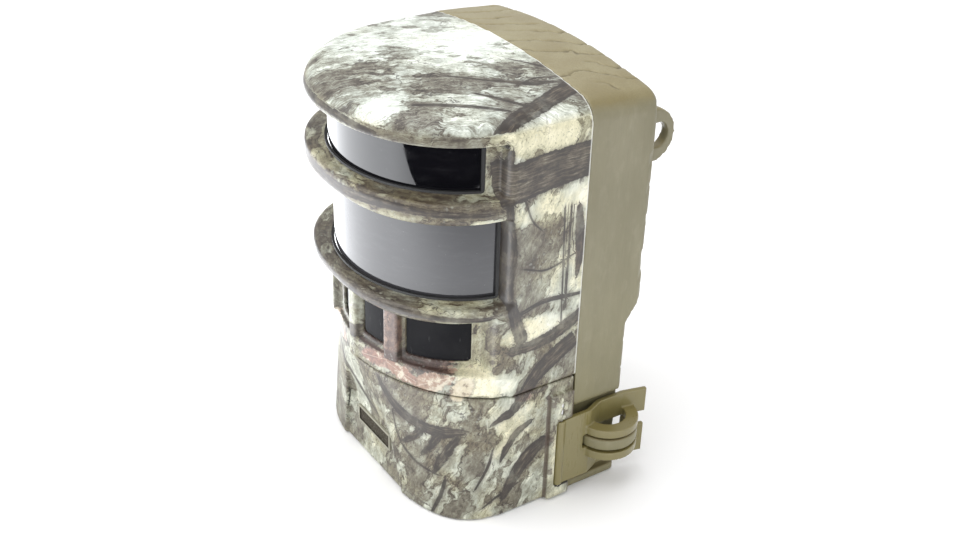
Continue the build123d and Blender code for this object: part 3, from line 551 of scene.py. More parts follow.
    # leaves
    leaf_u, leaf_v, leaf_near = look.parts(look.vector_attribute("leaf"))
    ragged = look.times(look.math("SUBTRACT", look.noise(place, 0.30, 4, 0.68), 0.5), 7.0)
    rim = look.math("ADD", leaf_near, ragged)
    on_leaf = look.rise(rim, -0.35, 0.35, 1, 0)
    side_v = look.math("ABSOLUTE", leaf_v)
    vein_run = look.math("SUBTRACT", look.times(leaf_u, 2.4), look.times(side_v, 1.3))
    veins = look.rise(look.math("PINGPONG", vein_run, 0.5), 0.42, 0.5)
    midrib = look.rise(side_v, 0.02, 0.07, 1, 0)
    red, tan = rgb(0.285, 0.150, 0.112), rgb(0.62, 0.55, 0.40)
    leaf = look.mix(look.attribute("leaf_tone"), tan, red)
    spots = look.noise(place, 0.16, 5, 0.66)
    leaf = look.mix(look.rise(spots, 0.49, 0.60, 0, 0.85), leaf, rgb(0.70, 0.65, 0.52))
    leaf = look.mix(look.rise(spots, 0.38, 0.48, 0.7, 0), leaf, rgb(0.12, 0.070, 0.052))
    leaf = look.mix(look.times(veins, 0.16), leaf, rgb(0.20, 0.13, 0.10))
    leaf = look.mix(look.times(midrib, 0.35), leaf, rgb(0.78, 0.70, 0.56))
    leaf = look.mix(look.rise(rim, -1.0, -0.1, 0, 0.35), leaf, rgb(0.13, 0.085, 0.07))
    base = look.mix(look.rise(rim, 0.0, 1.8, 0.4, 0.0), base, rgb(0.05, 0.04, 0.035))
    base = look.mix(look.times(on_leaf, 0.9), base, leaf)

    # painted shade along the edges and in the notches of the moulded hinge strip on the door's
    # right side
    strip = look.times(look.rise(x, *STRIP_X), look.rise(z, *STRIP_TOP_Z, 1, 0))
    strip_edge_shade = look.math("MAXIMUM", look.near(y, STRIP_EDGES_Y[0], 0.30, 0.75),
                      look.near(y, STRIP_EDGES_Y[1], 0.20, 0.55))
    notch_shade = look.math("PINGPONG", look.math("ADD", z, 2.0), NOTCH_PITCH)
    notch_shade = look.times(look.rise(notch_shade, 1.4, 2.2, 1, 0), look.near(y, NOTCH_Y, 1.3, 1.9))
    shadow = look.math("MAXIMUM", strip_edge_shade, look.times(notch_shade, 0.8))
    base = look.mix(look.times(look.times(shadow, strip), 0.85), base, rgb(0.075, 0.050, 0.035))

    # worn edges, a painted highlight along the edge at the seam, and the inside, which has no print
    edge = look.rise(look.sharpness(), 0.52, 0.60)
    chip = look.times(edge, look.rise(look.noise(place, 0.5, 4, 0.7), 0.46, 0.60))
    base = look.mix(look.times(chip, 0.4), base, rgb(0.80, 0.79, 0.72))
    # painted highlight: a pale line along the bezel's edge at the seam
    seam_highlight = look.rise(y, *BEZEL_HIGHLIGHT_Y)
    base = look.mix(look.times(seam_highlight, 0.75), base, rgb(0.80, 0.80, 0.74))
    bare = look.rise(look.attribute("unprinted"), 0.3, 0.7)
    plain = look.mix(look.rise(blotch, 0.3, 0.7),
                     rgb(0.030, 0.028, 0.022), rgb(0.050, 0.047, 0.038))
    base = look.mix(bare, base, plain)

    # satin finish over a faint relief of the bark
    gloss = look.rise(look.math("ADD", look.times(fibre, 0.5), look.times(cloud, 0.5)),
                      0.35, 0.65, 0.38, 0.54)
    height = look.math("ADD", look.times(texture, 0.5), look.times(inside, 0.4))
    height = look.math("SUBTRACT", height, look.times(split, 0.8))
    return look.finish(base, gloss, look.bump(height, 0.10),
                       Coat_Weight=0.08, Coat_Roughness=0.3)


def nameplate(name, low, high):
    """Blank dark plate with a pale rim; no print."""
    look = Look(name)
    place = look.place()
    x, _, z = look.parts(place)
    grain = look.noise(look.scaled(place, (0.5, 0.5, 2.0)), 1.0, 4, 0.65)
    scuff = look.noise(place, 0.6, 4, 0.7)
    inset = [look.math("MINIMUM", look.math("SUBTRACT", value, low[axis]),
                       look.math("SUBTRACT", high[axis], value))
             for value, axis in ((z, 2), (x, 0))]
    rim = look.rise(look.math("MINIMUM", *inset), 0.9, 1.2, 1, 0)
    base = look.mix(look.rise(grain, 0.35, 0.65),
                    rgb(0.050, 0.044, 0.036), rgb(0.105, 0.096, 0.078))
    base = look.mix(look.rise(scuff, 0.56, 0.70, 0, 0.5), base, rgb(0.26, 0.25, 0.20))
    base = look.mix(look.times(rim, 0.9), base, rgb(0.40, 0.39, 0.32))
    gloss = look.rise(scuff, 0.3, 0.7, 0.50, 0.66)
    return look.finish(base, gloss, look.bump(look.math("ADD", grain, look.times(rim, 0.6)), 0.08),
                       Specular_IOR_Level=0.0)


# ---------------------------------------------------------------- camo layout
WALL, HOOD, FLOOR = 0, 1, 2


def wrapped(places):
    """Way round the front in millimetres, with the middle at zero."""
    x, y = places[:, 0], places[:, 1]
    front = FRONT_RADIUS * np.arctan2(x / FRONT_HALF_WIDTH, (ARC_Y - y) / FRONT_DEPTH)
    side = np.sign(x) * (SIDE_LENGTH + y - ARC_Y)
    return np.where(y < ARC_Y, front, side)


def write_values(obj, **layers):
    for name, values in layers.items():
        layer = obj.data.attributes.new(name, "FLOAT", "POINT")
        layer.data.foreach_set("value", values)


def curve_through(points, steps=4):
    """Catmull-Rom line through (a, b, half width) points."""
    p = np.array(points, float)
    p = np.vstack([2 * p[0] - p[1], p, 2 * p[-1] - p[-2]])
    line = []
    for i in range(1, len(p) - 2):
        for step in range(steps):
            t = step / steps
            line.append(0.5 * (2 * p[i] + (p[i + 1] - p[i - 1]) * t
                               + (2 * p[i - 1] - 5 * p[i] + 4 * p[i + 1] - p[i + 2]) * t * t
                               + (3 * p[i] - p[i - 1] - 3 * p[i + 1] + p[i + 2]) * t ** 3))
    line.append(p[-2])
    return np.array(line)


class Layout:
    """Flat layout of limbs, leaves and tints over a shell's vertices.

    A zone is the walls (0), the hood's top (1) or the floor under the sensors (2).
    On the walls, a is the way round the front and b is the height; elsewhere x and y.
    """

    def __init__(self, obj):
        self.obj = obj
        self.places, self.normals = collect(obj)
        self.count = len(self.places)
        x, y, z = self.places.T
        up = self.normals[:, 2]
        self.s = wrapped(self.places)
        self.zone = np.full(self.count, WALL)
        self.zone[(up > 0.5) & (z > HOOD_Z)] = HOOD
        self.zone[(up > 0.7) & (z > SENSOR_FLOOR[0]) & (z < SENSOR_FLOOR[1])] = FLOOR
        self.a = np.where(self.zone == WALL, self.s, x)
        self.b = np.where(self.zone == WALL, z, y)
        self.limb = np.tile([0.0, FAR, FAR], (self.count, 1))   # along, offset, gap
        self.limb_half = np.zeros(self.count)
        self.limb_tone = np.zeros(self.count)
        self.leaf = np.tile([0.0, 9.0, FAR], (self.count, 1))   # u, v, gap
        self.leaf_tone = np.zeros(self.count)
        self.tint = np.zeros((self.count, 3))                   # pale, dark, warm
        self.rosy = np.zeros(self.count)

    def near_to(self, zone, low, high):
        return np.flatnonzero((self.zone == zone) & (self.a > low[0]) & (self.a < high[0])
                              & (self.b > low[1]) & (self.b < high[1]))

    def sawn(self, line):
        """Past the ends of a thick limb, which are cut flat."""
        cut = np.zeros(self.count, bool)
        for tip, before in ((line[0], line[1]), (line[-1], line[-2])):
            if tip[2] > 4:
                out = tip - before
                da, db = self.a - tip[0], self.b - tip[1]
                cut |= (da * out[0] + db * out[1] > 0) & (np.hypot(da, db) < tip[2] * 2)
        return cut

    def stroke(self, zone, tone, points):
        """A limb along a line of (a, b, half width) points."""
        line = curve_through(points)
        sawn = self.sawn(line)
        done = 0.0
        for start, end in zip(line, line[1:]):
            margin = max(start[2], end[2]) + 5.0
            low = np.minimum(start, end)[:2] - margin
            high = np.maximum(start, end)[:2] + margin
            mine = self.near_to(zone, low, high)
            run = end[:2] - start[:2]
            length = max(math.hypot(*run), 1e-6)
            run = run / length
            if len(mine):
                da = self.a[mine] - start[0]
                db = self.b[mine] - start[1]
                along = np.clip(da * run[0] + db * run[1], 0, length)
                off_a = da - along * run[0]
                off_b = db - along * run[1]
                away = np.hypot(off_a, off_b)
                side = np.sign(run[0] * db - run[1] * da)
                half = start[2] + (end[2] - start[2]) * along / length
                near = np.where(sawn[mine], FAR, away - half)
                better = near < self.limb[mine, 2]
                chosen = mine[better]
                self.limb[chosen, 0] = done + along[better]
                self.limb[chosen, 1] = (side * away)[better]
                self.limb[chosen, 2] = near[better]
                self.limb_half[chosen] = half[better]
                self.limb_tone[chosen] = tone
            done += length

    def add_leaf(self, zone, a, b, degrees, length, width, tone):
        margin = length / 2 + 3
        mine = self.near_to(zone, (a - margin, b - margin), (a + margin, b + margin))
        if not len(mine):
            return
        turn = math.radians(degrees)
        da, db = self.a[mine] - a, self.b[mine] - b
        u = (da * math.cos(turn) + db * math.sin(turn)) / (length / 2)
        v = (-da * math.sin(turn) + db * math.cos(turn)) / (width / 2)
        inside = np.clip(1 - u * u, 0, 1)
        profile = inside ** 0.7 * (1 - 0.3 * u)
        near = np.where(np.abs(u) < 1, (np.abs(v) - profile) * width / 2,
                        (np.abs(u) - 1) * length / 2 + np.abs(v) * width / 2)
        better = near < self.leaf[mine, 2]
        chosen = mine[better]
        self.leaf[chosen] = np.c_[u, v, near][better]
        self.leaf_tone[chosen] = tone

    def shade(self, zone, a, b, wide, high, degrees, values):
        """Soft oval that lightens, darkens, warms or reddens the ground; some of them paint light
        and shade.
        """
        turn = math.radians(degrees)
        da, db = self.a - a, self.b - b
        u = (da * math.cos(turn) + db * math.sin(turn)) / wide
        v = (-da * math.sin(turn) + db * math.cos(turn)) / high
        weight = (1 - smooth(np.hypot(u, v), 0.55, 1.25)) * (self.zone == zone)
        self.tint += weight[:, None] * np.array(values[:3])
        self.rosy += weight * (values[3] if len(values) > 3 else 0.0)

    def grain(self):
        """Which way the bark runs: across the hood and rims, upright below."""
        x, y, z = self.places.T
        ahead = np.where(y < ARC_Y, (ARC_Y - y) / FRONT_DEPTH, 0)
        fall = z - FRONT_RADIUS * np.hypot(x / FRONT_HALF_WIDTH, ahead)
        upright = np.c_[fall * 0.94 + self.s * 0.34, self.s * 0.94 - fall * 0.34]
        round_it = np.c_[self.s, fall]
        over = np.c_[x * 0.5 + y * 0.87, x * 0.87 - y * 0.5]
        rim = np.any([(z > low) & (z < high) for low, high in RIM_BANDS], axis=0) & (y < RIM_Y)
        runs = np.where(rim[:, None], round_it, upright)
        runs = np.where((self.zone == HOOD)[:, None], over, runs)
        return np.c_[runs, np.zeros(self.count)]

    def unprinted(self):
        """The inner faces of the door, which the print doesn't reach."""
        x, y, z = self.places.T
        front = np.c_[x / FRONT_HALF_WIDTH ** 2, (y - ARC_Y) / FRONT_DEPTH ** 2]
        toward = np.where((y < ARC_Y)[:, None], front, np.c_[np.sign(x), x * 0])
        toward /= np.maximum(np.hypot(toward[:, 0], toward[:, 1]), 1e-9)[:, None]
        facing = (toward * self.normals[:, :2]).sum(1)
        inner = (facing < -0.25) | ((self.normals[:, 2] > 0.5) & (z < DOOR_INSIDE_Z))
        return (inner & (z < DOOR_TOP_Z)).astype(float)

    def write(self):
        for name, values in (("grain", self.grain()), ("limb", self.limb),
                             ("leaf", self.leaf), ("tint", self.tint)):
            layer = self.obj.data.attributes.new(name, "FLOAT_VECTOR", "POINT")
            layer.data.foreach_set("vector", np.ascontiguousarray(values).ravel())
        write_values(self.obj, limb_half=self.limb_half, limb_tone=self.limb_tone,
                     leaf_tone=self.leaf_tone, rosy=self.rosy, unprinted=self.unprinted())


# (zone, tone, [(a, b, half width), ...]); a and b are millimetres on the flat layout
LIMBS = [
    # right column, from the hood down
    (WALL, 0.3, [(82, 196.5, 10), (92, 198, 10.6), (106, 200, 10.2), (122, 201, 9.8),
                 (142, 202, 9.6)]),
    (WALL, 0.9, [(127, 176, 1.8), (128, 164, 2.8), (129, 150, 2.6), (128, 138, 1.2)]),
    (WALL, 0.5, [(122, 178, 0.6), (122, 160, 0.7), (122, 142, 0.6), (122, 120, 0.5)]),
    # partly a dark limb of the print and partly painted shade along the corner between the column's
    # front and side
    (WALL, 0.1, [(88, 214, 1.0), (87, 196, 1.6), (88, 178, 2.0), (90, 160, 2.4), (89, 140, 2.0),
                 (92, 124, 3.0), (96, 110, 3.6)]),
    (WALL, 0.0, [(92, 124, 1.2), (108, 128, 1.4), (122, 127, 1.2), (134, 126, 0.8)]),
    (WALL, 0.4, [(92, 104, 3.0), (104, 104, 3.4), (118, 107, 4.0), (132, 114, 3.4)]),
    (WALL, 0.4, [(130, 100, 5.0), (116, 92, 5.5), (104, 82, 4.5), (94, 68, 3.0), (84, 60, 1.0)]),
    (WALL, 0.0, [(96, 150, 0.5), (110, 146, 0.6), (130, 152, 0.4)]),
    (WALL, 0.0, [(118, 178, 0.45), (119, 150, 0.55), (120, 112, 0.45)]),
    (WALL, 0.0, [(94, 190, 0.6), (99, 176, 0.5), (106, 168, 0.3)]),
    # hood
    (HOOD, 0.3, [(74, -74, 1.2), (70, -60, 3.0), (66, -44, 4.0), (60, -26, 5.0), (56, -14, 5.5)]),
    (HOOD, 0.0, [(66, -44, 0.8), (56, -52, 1.2), (44, -62, 0.8)]),
    (HOOD, 0.2, [(22, -66, 0.5), (34, -52, 1.0), (44, -36, 1.2), (52, -15, 0.8)]),
    (HOOD, 0.0, [(38, -92, 0.9), (46, -80, 1.4), (56, -66, 1.2), (64, -56, 0.8)]),
    (HOOD, 0.0, [(40, -44, 0.6), (48, -32, 0.8), (50, -16, 0.5)]),
    (HOOD, 0.0, [(46, -40, 0.5), (43, -28, 0.6), (46, -16, 0.4)]),
    (HOOD, 0.1, [(20, -28, 0.4), (28, -22, 0.6), (36, -16, 0.4)]),
    # band under the sensors
    (WALL, 0.7, [(38, 93, 2.5), (48, 88, 2.8), (58, 85, 2.0), (66, 83, 0.6)]),
    (WALL, 0.2, [(-60, 96, 2.0), (-42, 90, 2.6), (-24, 84, 2.0), (-8, 78, 1.0)]),
    # door, right half
    (WALL, 0.1, [(20, 72, 1.2), (26, 64, 2.4), (36, 57, 3.2), (48, 53.5, 3.0), (60, 53, 3.4),
                 (70, 55, 2.0)]),
    (WALL, 0.1, [(50, 53, 2.6), (46, 46, 2.2), (40, 40, 1.6), (36, 36, 0.6)]),
    (WALL, 0.1, [(60, 53, 2.4), (55, 44, 2.0), (50, 36, 1.2)]),
    (WALL, 0.0, [(68, 52, 1.6), (64, 44, 2.2), (60, 36, 2.4), (57, 28, 1.0)]),
    (WALL, 0.0, [(30, 55, 0.5), (34, 40, 0.7), (44, 30, 0.9), (58, 26, 0.5)]),
    (WALL, 0.2, [(76, 20, 0.5), (82, 34, 0.8), (84, 44, 0.5)]),
    (WALL, 0.3, [(104, 56, 1.6), (96, 52, 2.4), (91, 44, 1.8), (88, 36, 0.6)]),
    (WALL, 0.4, [(113, 40, 3.5), (104, 34, 5.0), (96, 24, 4.0), (90, 12, 2.0)]),
    (WALL, 0.0, [(62, 24, 0.8), (60, 14, 1.0), (56, 2, 0.8)]),
    (WALL, 0.0, [(80, 8, 0.5), (88, 14, 0.8), (98, 18, 0.6)]),
    # door, centre panel and left half
    (WALL, 0.2, [(-28, 72, 2.0), (-20, 56, 2.4), (-8, 44, 2.0), (4, 36, 1.0)]),
    (WALL, 0.2, [(-46, 70, 0.8), (-58, 58, 2.4), (-70, 46, 3.4), (-84, 40, 2.6)]),
    (WALL, 0.2, [(-58, 58, 2.0), (-60, 42, 1.8), (-66, 26, 0.8)]),
    (WALL, 0.3, [(-112, 50, 4.0), (-100, 38, 4.2), (-90, 22, 3.0), (-86, 6, 1.0)]),
    (WALL, 0.0, [(-44, 44, 0.5), (-50, 30, 0.8), (-48, 12, 0.6)]),
    # left column
    (WALL, 0.3, [(-134, 206, 8), (-114, 200, 8.5), (-98, 192, 7), (-88, 182, 4)]),
    (WALL, 0.5, [(-110, 150, 0.8), (-114, 134, 2.6), (-120, 116, 3.0), (-130, 98, 3.4)]),
    (WALL, 0.0, [(-96, 176, 0.5), (-99, 150, 0.7), (-97, 122, 0.5)]),
    (WALL, 0.2, [(-118, 96, 2.6), (-106, 104, 2.2), (-96, 116, 1.4), (-90, 126, 0.6)]),
    # rims
    (WALL, 0.2, [(-80, 184, 1.0), (-40, 186, 2.2), (0, 183, 2.6), (40, 186, 2.2), (78, 184, 1.0)]),
    (WALL, 0.2, [(-70, 126, 1.2), (-30, 128, 1.8), (10, 126, 2.0), (44, 128, 1.6), (80, 126, 1.2)]),
    (WALL, 0.2, [(-60, 222, 1.0), (-30, 220, 1.8), (0, 222, 2.0), (30, 220, 1.6)]),
]

# (zone, a, b, degrees, length, width, tone)
LEAVES = [
    (WALL, 18, 84, 14, 22, 8, 1.0),
    (WALL, 38, 82, -16, 24, 9, 0.9),
    (WALL, 56, 83, 30, 26, 11, 0.75),
    (WALL, 70, 82, 60, 20, 9, 0.0),
    (WALL, -20, 84, 150, 22, 9, 0.8),
    (WALL, -52, 82, 20, 26, 10, 0.5),
    (FLOOR, -28, -94, 30, 24, 10, 0.7),
    (WALL, -80, 84, 20, 24, 9, 0.7),
]

# (zone, a, b, half width, half height, degrees, (pale, dark, warm[, rosy]))
TINTS = [
    # the two broad pale ovals over the hood's top are partly paler print and partly a painted
    # highlight
    (HOOD, -30, -50, 60, 40, 60, (0.36, 0, 0)),
    (HOOD, 0, -36, 30, 34, 0, (0.30, 0, 0)),
    (HOOD, 14, -86, 44, 18, 50, (0, 0.12, 0.1)),
    (HOOD, -8, -108, 40, 12, 10, (0, 0.06, 0.1)),
    (HOOD, 30, -104, 12, 10, 30, (0.55, 0, 0)),
    (HOOD, 52, -74, 18, 14, 50, (0.25, 0, 0.4)),
    (HOOD, 58, -46, 14, 12, 40, (0.1, 0.15, 0.3)),
    (HOOD, 75, -34, 10, 28, 0, (0.44, 0, 0.9)),
    (WALL, 104, 222, 26, 12, 0, (0.40, 0, 0.9)),
    (WALL, 114, 216, 28, 8, 10, (0.2, 0, 0.2)),
    (WALL, 112, 180, 26, 9, 6, (0.48, 0, 0.3)),
    (WALL, 104, 160, 18, 12, 30, (0.05, 0.22, 0.1)),
    (WALL, 116, 140, 14, 16, 0, (0.35, 0, 0.1)),
    (WALL, 130, 170, 6, 60, 0, (0.3, 0, 0)),
    (WALL, 106, 113, 20, 8, 0, (0.65, 0, 0.1)),
    (WALL, 78, 176, 10, 5, 0, (0.7, 0, 0.2)),
    (WALL, 46, 184, 34, 8, 0, (0, 0.22, 0.5)),
    (WALL, -10, 184, 50, 8, 0, (0, 0.20, 0)),
    (WALL, -10, 128, 50, 8, 0, (0, 0.26, -0.2)),
    (WALL, 62, 128, 20, 6, 0, (0, 0.10, 0.2)),
    (WALL, 78, 84, 18, 8, 0, (0.75, 0, 0.25)),
    (WALL, 68, 64, 16, 10, 0, (0.10, 0, 0.1)),
    (WALL, 42, 42, 16, 14, 0, (0.20, 0, -0.1)),
    (WALL, 94, 60, 12, 16, 0, (0.40, 0, 0)),
    (WALL, 92, 30, 12, 20, 0, (0.26, 0, 0)),
    (WALL, 122, 36, 7, 40, 0, (0.30, 0, 0.2)),
    (WALL, -26, 46, 34, 30, 0, (0.22, 0, -0.2)),
    # painted shade in the sensor recess: the dark parts of these four ovals, on the right end wall,
    # the rib and the foot of the walls by the floor; their warm and rosy parts are print
    (WALL, 78, 105, 12, 16, 0, (0, 0.16, 0.5, 0.3)),
    (WALL, 30, 106, 8, 22, 0, (0, 0.18, 0, 0.8)),
    (WALL, 44, 92, 26, 4, 0, (0, 0.50, 0, 0.6)),
    (WALL, 4, 92, 18, 5, 0, (0, 0.50, 0, 0.1)),
    (WALL, 20, 84, 14, 6, 0, (0.1, 0, 0, 0.6)),
    (WALL, 48, 84, 18, 6, 0, (0.15, 0, 0, 0.5)),
    (WALL, 100, 74, 8, 5, 0, (0, 0, 0, 0.5)),
    (FLOOR, 62, -70, 16, 14, 0, (0.75, 0, 0.3)),
    # painted shade: these ovals darken the floor under the sensors; their rosy part is print
    (FLOOR, 30, -90, 34, 18, 20, (0, 0.62, 0.2, 0.75)),
    (FLOOR, -6, -98, 22, 12, 0, (0, 0.50, 0.2, 0.2)),
]


def lay_out(obj):
    trim(obj)
    layout = Layout(obj)
    for zone, tone, points in LIMBS:
        layout.stroke(zone, tone, points)
    for leaf in LEAVES:
        layout.add_leaf(*leaf)
    for tint in TINTS:
        layout.shade(*tint)
    layout.write()


# ---------------------------------------------------------------- bark relief
def grooves(across, spacing, width):
    """How deep each place is in evenly spaced grooves, and its phase between two."""
    step = across / spacing
    phase = step - np.floor(step)
    gap = np.minimum(phase, 1 - phase) * spacing
    return np.exp(-(gap / width) ** 2), phase


def bark_relief(obj):
    """Bark ridges pressed into the housing: cracked cap, furrowed back."""
    places, normals = collect(obj)
    x, y, z = places.T

    # cap: long cracks between tilted plates
    cap = smooth(normals[:, 2], 0.25, 0.6) * smooth(z, 196, 212)
    bend = layered(places * (0.05, 0.05, 0.05), 3, 5) - 0.5
    kink = layered(places * (0.22, 0.22, 0.22), 3, 9) - 0.5
    crack, phase = grooves(x * 0.93 - (y + 15) * 0.30 + 16 * bend + 5 * kink, 13.5, 0.9)
    open_here = smooth(layered(places * (0.09, 0.05, 0), 2, 21), 0.30, 0.5)
    crack = crack * open_here
    plate = 0.35 * phase * open_here + 0.5 * (layered(places * (0.15, 0.08, 0.1), 3, 3) - 0.3)
    depth = cap * (0.95 * crack + np.clip(plate, 0, 1) * 0.6)

    # back: upright furrows with cross breaks, kept off the screws
    back = smooth(normals[:, 1], 0.45, 0.85) * smooth(y, 15, 18)
    weave = layered(places * (0.09, 0, 0.022), 3, 41) - 0.5
    furrow, _ = grooves(x + 26 * weave, 11.0, 1.4)
    cross, _ = grooves(z + 30 * (layered(places * (0.05, 0, 0.05), 3, 55) - 0.5), 17.0, 1.0)
    cross_on = smooth(layered(places * (0.12, 0, 0.06), 2, 77), 0.45, 0.55)
    furrow = np.maximum(furrow, cross * cross_on)
    clear = np.ones(len(x))
    for screw_x, screw_z in CASE_SCREWS:
        clear = clear * smooth(np.hypot(x - screw_x, z - screw_z), 5.0, 8.0)
    depth += back * clear * 0.8 * furrow

    # sides: faint upright streaks, and nicks along the rear corners
    side = smooth(np.abs(normals[:, 0]), 0.6, 0.9)
    latch_side = (x > 60) & (z < LATCH_ZONE_Z)
    streaks = layered(places * (0, 0.32, 0.03), 3, 13)
    depth += side * ~latch_side * 0.22 * smooth(streaks, 0.35, 0.65)
    corner = smooth(y, 20, 25) * smooth(np.abs(x), 66, 71) * smooth(z, 60, 80)
    nick = layered(places * (0.1, 0.2, 0.11), 2, 88)
    depth += corner * 0.7 * smooth(nick, 0.52, 0.66)

    # the cable ears and the underside stay smooth
    ear = (y > 23.5) & (z > 180) & (np.abs(x) > 56) & (np.abs(x) < 66)
    plain = ear | (normals[:, 2] < -0.5)
    depth = np.where(plain, 0, np.clip(depth, 0, 1.3))
    store(obj, keep_inside(places - normals * depth[:, None]))
    # groove depth, which the olive look paints as shade in the grooves
    write_values(obj, depth=np.clip(cap * crack + back * clear * furrow * 0.8, 0, 1) * ~plain)


# --------------------------------------------------------------------- build
CAMO = camo("camo_print")
OLIVE = olive("olive_bark")
LATCH_OLIVE = olive("olive_gloss", glossy=1.0, warm=0.7)

# (name, CAD node, body, slot, voxel in millimetres, look, what shapes or paints it)
SHELLS = [
    ("housing_shell", "rear_housing", "case", "olive_plastic", 1.0, OLIVE, bark_relief),
    ("bezel_shell", "front_bezel", "case", "camo_plastic", 0.9, CAMO, lay_out),
    ("door_shell", "front_door", "door", "camo_plastic", 0.9, CAMO, lay_out),
    ("latch_shell", "latch_plate", "latch", "olive_plastic", 0.4, LATCH_OLIVE, trim),
    ("hinge_leaf_shell", "door_hinge_leaf", "case", "olive_plastic", 0.4, LATCH_OLIVE, trim),
]
for *facts, detail in SHELLS:
    detail(shell(*facts))
# keeps the visors out of the windows' reflections
bpy.data.objects["bezel_shell"].visible_glossy = False

LOOKS = {
    "black_plastic": moulded("black_moulding", (0.022, 0.022, 0.024), (0.014, 0.014, 0.015), 0.5),
    "grey_plastic": moulded("grey_moulding", (0.24, 0.24, 0.25), (0.17, 0.17, 0.18), 0.48),
    "pir_film": moulded("lens_film", (0.018, 0.018, 0.020), (0.010, 0.010, 0.012), 0.45, 0.05,
                        shine=0.05),
    "rubber": moulded("seal_rubber", (0.016, 0.016, 0.016), (0.010, 0.010, 0.010), 0.72, 0.08),
    "button_rubber": moulded("key_rubber", (0.10, 0.10, 0.105), (0.07, 0.07, 0.074), 0.6, 0.08),
    "chip": moulded("chip_epoxy", (0.020, 0.020, 0.021), (0.012, 0.012, 0.013), 0.42, 0.04),
    "led_epoxy": window("emitter_epoxy", (0.030, 0.012, 0.035), 0.08),
    "flash_filter": window("flash_filter_plastic", (0.006, 0.006, 0.008), 0.02),
    "smoked_window": window("smoked_plastic", (0.050, 0.050, 0.055), 0.03),
    "circuit_board": board("solder_mask"),
    "battery_wrap": battery_wrap("cell_sleeve"),
    "lcd": display("display_cover"),
    "optical_glass": glass("coated_glass"),
    "steel": metal("zinc_steel", (0.62, 0.62, 0.63), (0.40, 0.39, 0.37)),
    "sensor_can": metal("sensor_steel", (0.70, 0.70, 0.70), (0.52, 0.52, 0.52), 0.26),
    "brass": metal("turned_brass", (0.76, 0.56, 0.26), (0.50, 0.36, 0.16), 0.3, (1.2, 1.2, 4.0)),
    "olive_plastic": OLIVE,
    "camo_plastic": CAMO,
}
PLATE_BOX = [[value / MM for value in corner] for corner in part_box("door_nameplate")]
SPECIAL = {"door_nameplate": nameplate("nameplate_moulding", *PLATE_BOX)}   # by node, not slot
SLOT_OF = {part["node"]: part["material_slot"] for part in frame["record"]["subparts"]}
for node_name, node_object in NODES.items():
    look_for_node = SPECIAL.get(node_name) or LOOKS[SLOT_OF[node_name]]
    if not node_object.material_slots:
        node_object.data.materials.append(look_for_node)
    for material_slot in node_object.material_slots:
        material_slot.material = look_for_node


# --------------------------------------------------------------------- stage
def emitter(name, strength_low, strength_high, tint):
    """Light for a card, brighter on the left."""
    look = Look(name)
    x, y, _ = look.parts(look.place())
    turn = look.math("SUBTRACT", x, look.times(y, 0.15))
    level = look.rise(turn, 60.0, 430.0, strength_high, strength_low)
    shader = look.node("Emission", {"Color": rgb(*tint), "Strength": level})
    look.node("OutputMaterial", {"Surface": shader})
    return look.material


def card(name, outline, z, material):
    mesh = bpy.data.meshes.new(name)
    mesh.from_pydata([(a * MM, b * MM, z * MM) for a, b in outline], [], [range(len(outline))])
    obj = bpy.data.objects.new(name, mesh)
    bpy.context.scene.collection.objects.link(obj)
    obj.data.materials.append(material)
    return obj


def turned(side, up, back, where):
    """Pose matrix from its three directions and its place."""
    return Matrix([[side[i], up[i], back[i], where[i]] for i in range(3)] + [[0, 0, 0, 1]])


def only_in_reflections(obj):
    obj.visible_camera = False
    obj.visible_diffuse = False
    obj.visible_shadow = False
    obj.visible_transmission = False
    obj.visible_volume_scatter = False


def area_light(name, where, aim, size, power):
    light = bpy.data.lights.new(name, "AREA")
    light.shape = "RECTANGLE"
    light.size, light.size_y = size
    light.energy = power
    obj = bpy.data.objects.new(name, light)
    bpy.context.scene.collection.objects.link(obj)
    back = np.array(where, float) - np.array(aim, float)
    back /= np.linalg.norm(back)
    side = np.cross((0, 1, 0) if abs(back[2]) > 0.99 else (0, 0, 1), back)
    side /= np.linalg.norm(side)
    obj.matrix_world = turned(side, np.cross(back, side), back, where)


floor_look = Look("floor_paint")
floor_tone = floor_look.noise(floor_look.place(), 0.004, 2)
floor_colour = floor_look.mix(floor_tone, rgb(0.90, 0.90, 0.91), rgb(0.94, 0.94, 0.94))
floor_material = floor_look.finish(floor_colour, 0.8)
FLOOR_HALF = 4000
card("floor", [(-FLOOR_HALF, -FLOOR_HALF), (FLOOR_HALF, -FLOOR_HALF), (FLOOR_HALF, FLOOR_HALF),
               (-FLOOR_HALF, FLOOR_HALF)], -0.1, floor_material)

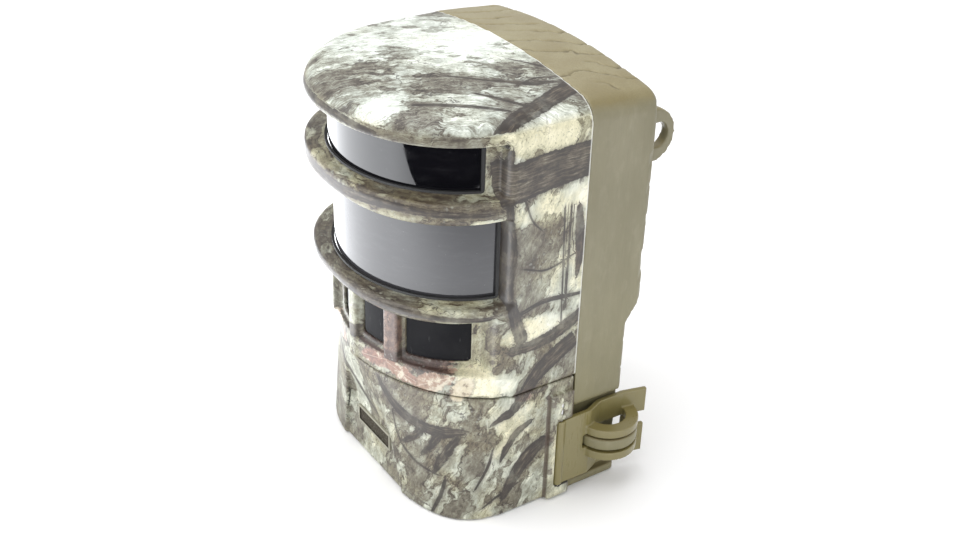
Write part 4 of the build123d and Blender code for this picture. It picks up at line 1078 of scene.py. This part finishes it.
# a bright card for the windows and glossy edges to reflect, and a dark one over part of it
bright = card("bounce_card",
              [(-700, -900), (900, -900), (900, 300), (260, 300), (150, -190), (-130, -170),
               (-160, 200), (-700, 200)],
              0.6, emitter("bounce_light", 1.9, 5.6, (0.95, 0.97, 1.0)))
only_in_reflections(bright)
dark_look = Look("flag_cloth")
dark_look.node("OutputMaterial", {"Surface": dark_look.node("Emission", {"Color": rgb(0, 0, 0)})})
flag = card("flag", [(95, -560), (186, -436), (300, -335), (372, -262), (432, -110), (440, 60),
                     (800, 60), (800, -800), (60, -800)], 1.2, dark_look.material)
only_in_reflections(flag)

area_light("top_softbox", (-0.10, -0.15, 1.15), (0, -0.02, 0.1), (1.2, 1.0), 8.0)
area_light("front_softbox", (-0.55, -1.0, 0.75), (0, -0.05, 0.12), (0.9, 0.9), 7.0)
area_light("side_softbox", (1.1, -0.2, 0.7), (0, 0, 0.12), (0.6, 0.8), 2.0)

world = bpy.data.worlds.new("studio")
world.use_nodes = True
backdrop = world.node_tree.nodes["Background"]
backdrop.inputs[0].default_value = (1.0, 1.0, 1.0, 1.0)
backdrop.inputs[1].default_value = 0.85
bpy.context.scene.world = world
bpy.context.scene.view_settings.view_transform = "Standard"

# -------------------------------------------------------------------- camera
CAMERA_AT = (0.54341, -0.39017, 0.48786)
AZIMUTH, ELEVATION, ROLL = (math.radians(a) for a in (55.81, 30.58, 1.93))
LENS = 51.02

lens = bpy.data.cameras.new("camera")
lens.lens = LENS
lens.sensor_width = 36.0
camera = bpy.data.objects.new("camera", lens)
bpy.context.scene.collection.objects.link(camera)
back = np.array([math.sin(AZIMUTH) * math.cos(ELEVATION),
                 -math.cos(AZIMUTH) * math.cos(ELEVATION), math.sin(ELEVATION)])
right = np.cross((0, 0, 1), back)
right /= np.linalg.norm(right)
above = np.cross(back, right)
rolled_right = math.cos(ROLL) * right + math.sin(ROLL) * above
rolled_above = -math.sin(ROLL) * right + math.cos(ROLL) * above
camera.matrix_world = turned(rolled_right, rolled_above, back, CAMERA_AT)
bpy.context.scene.camera = camera
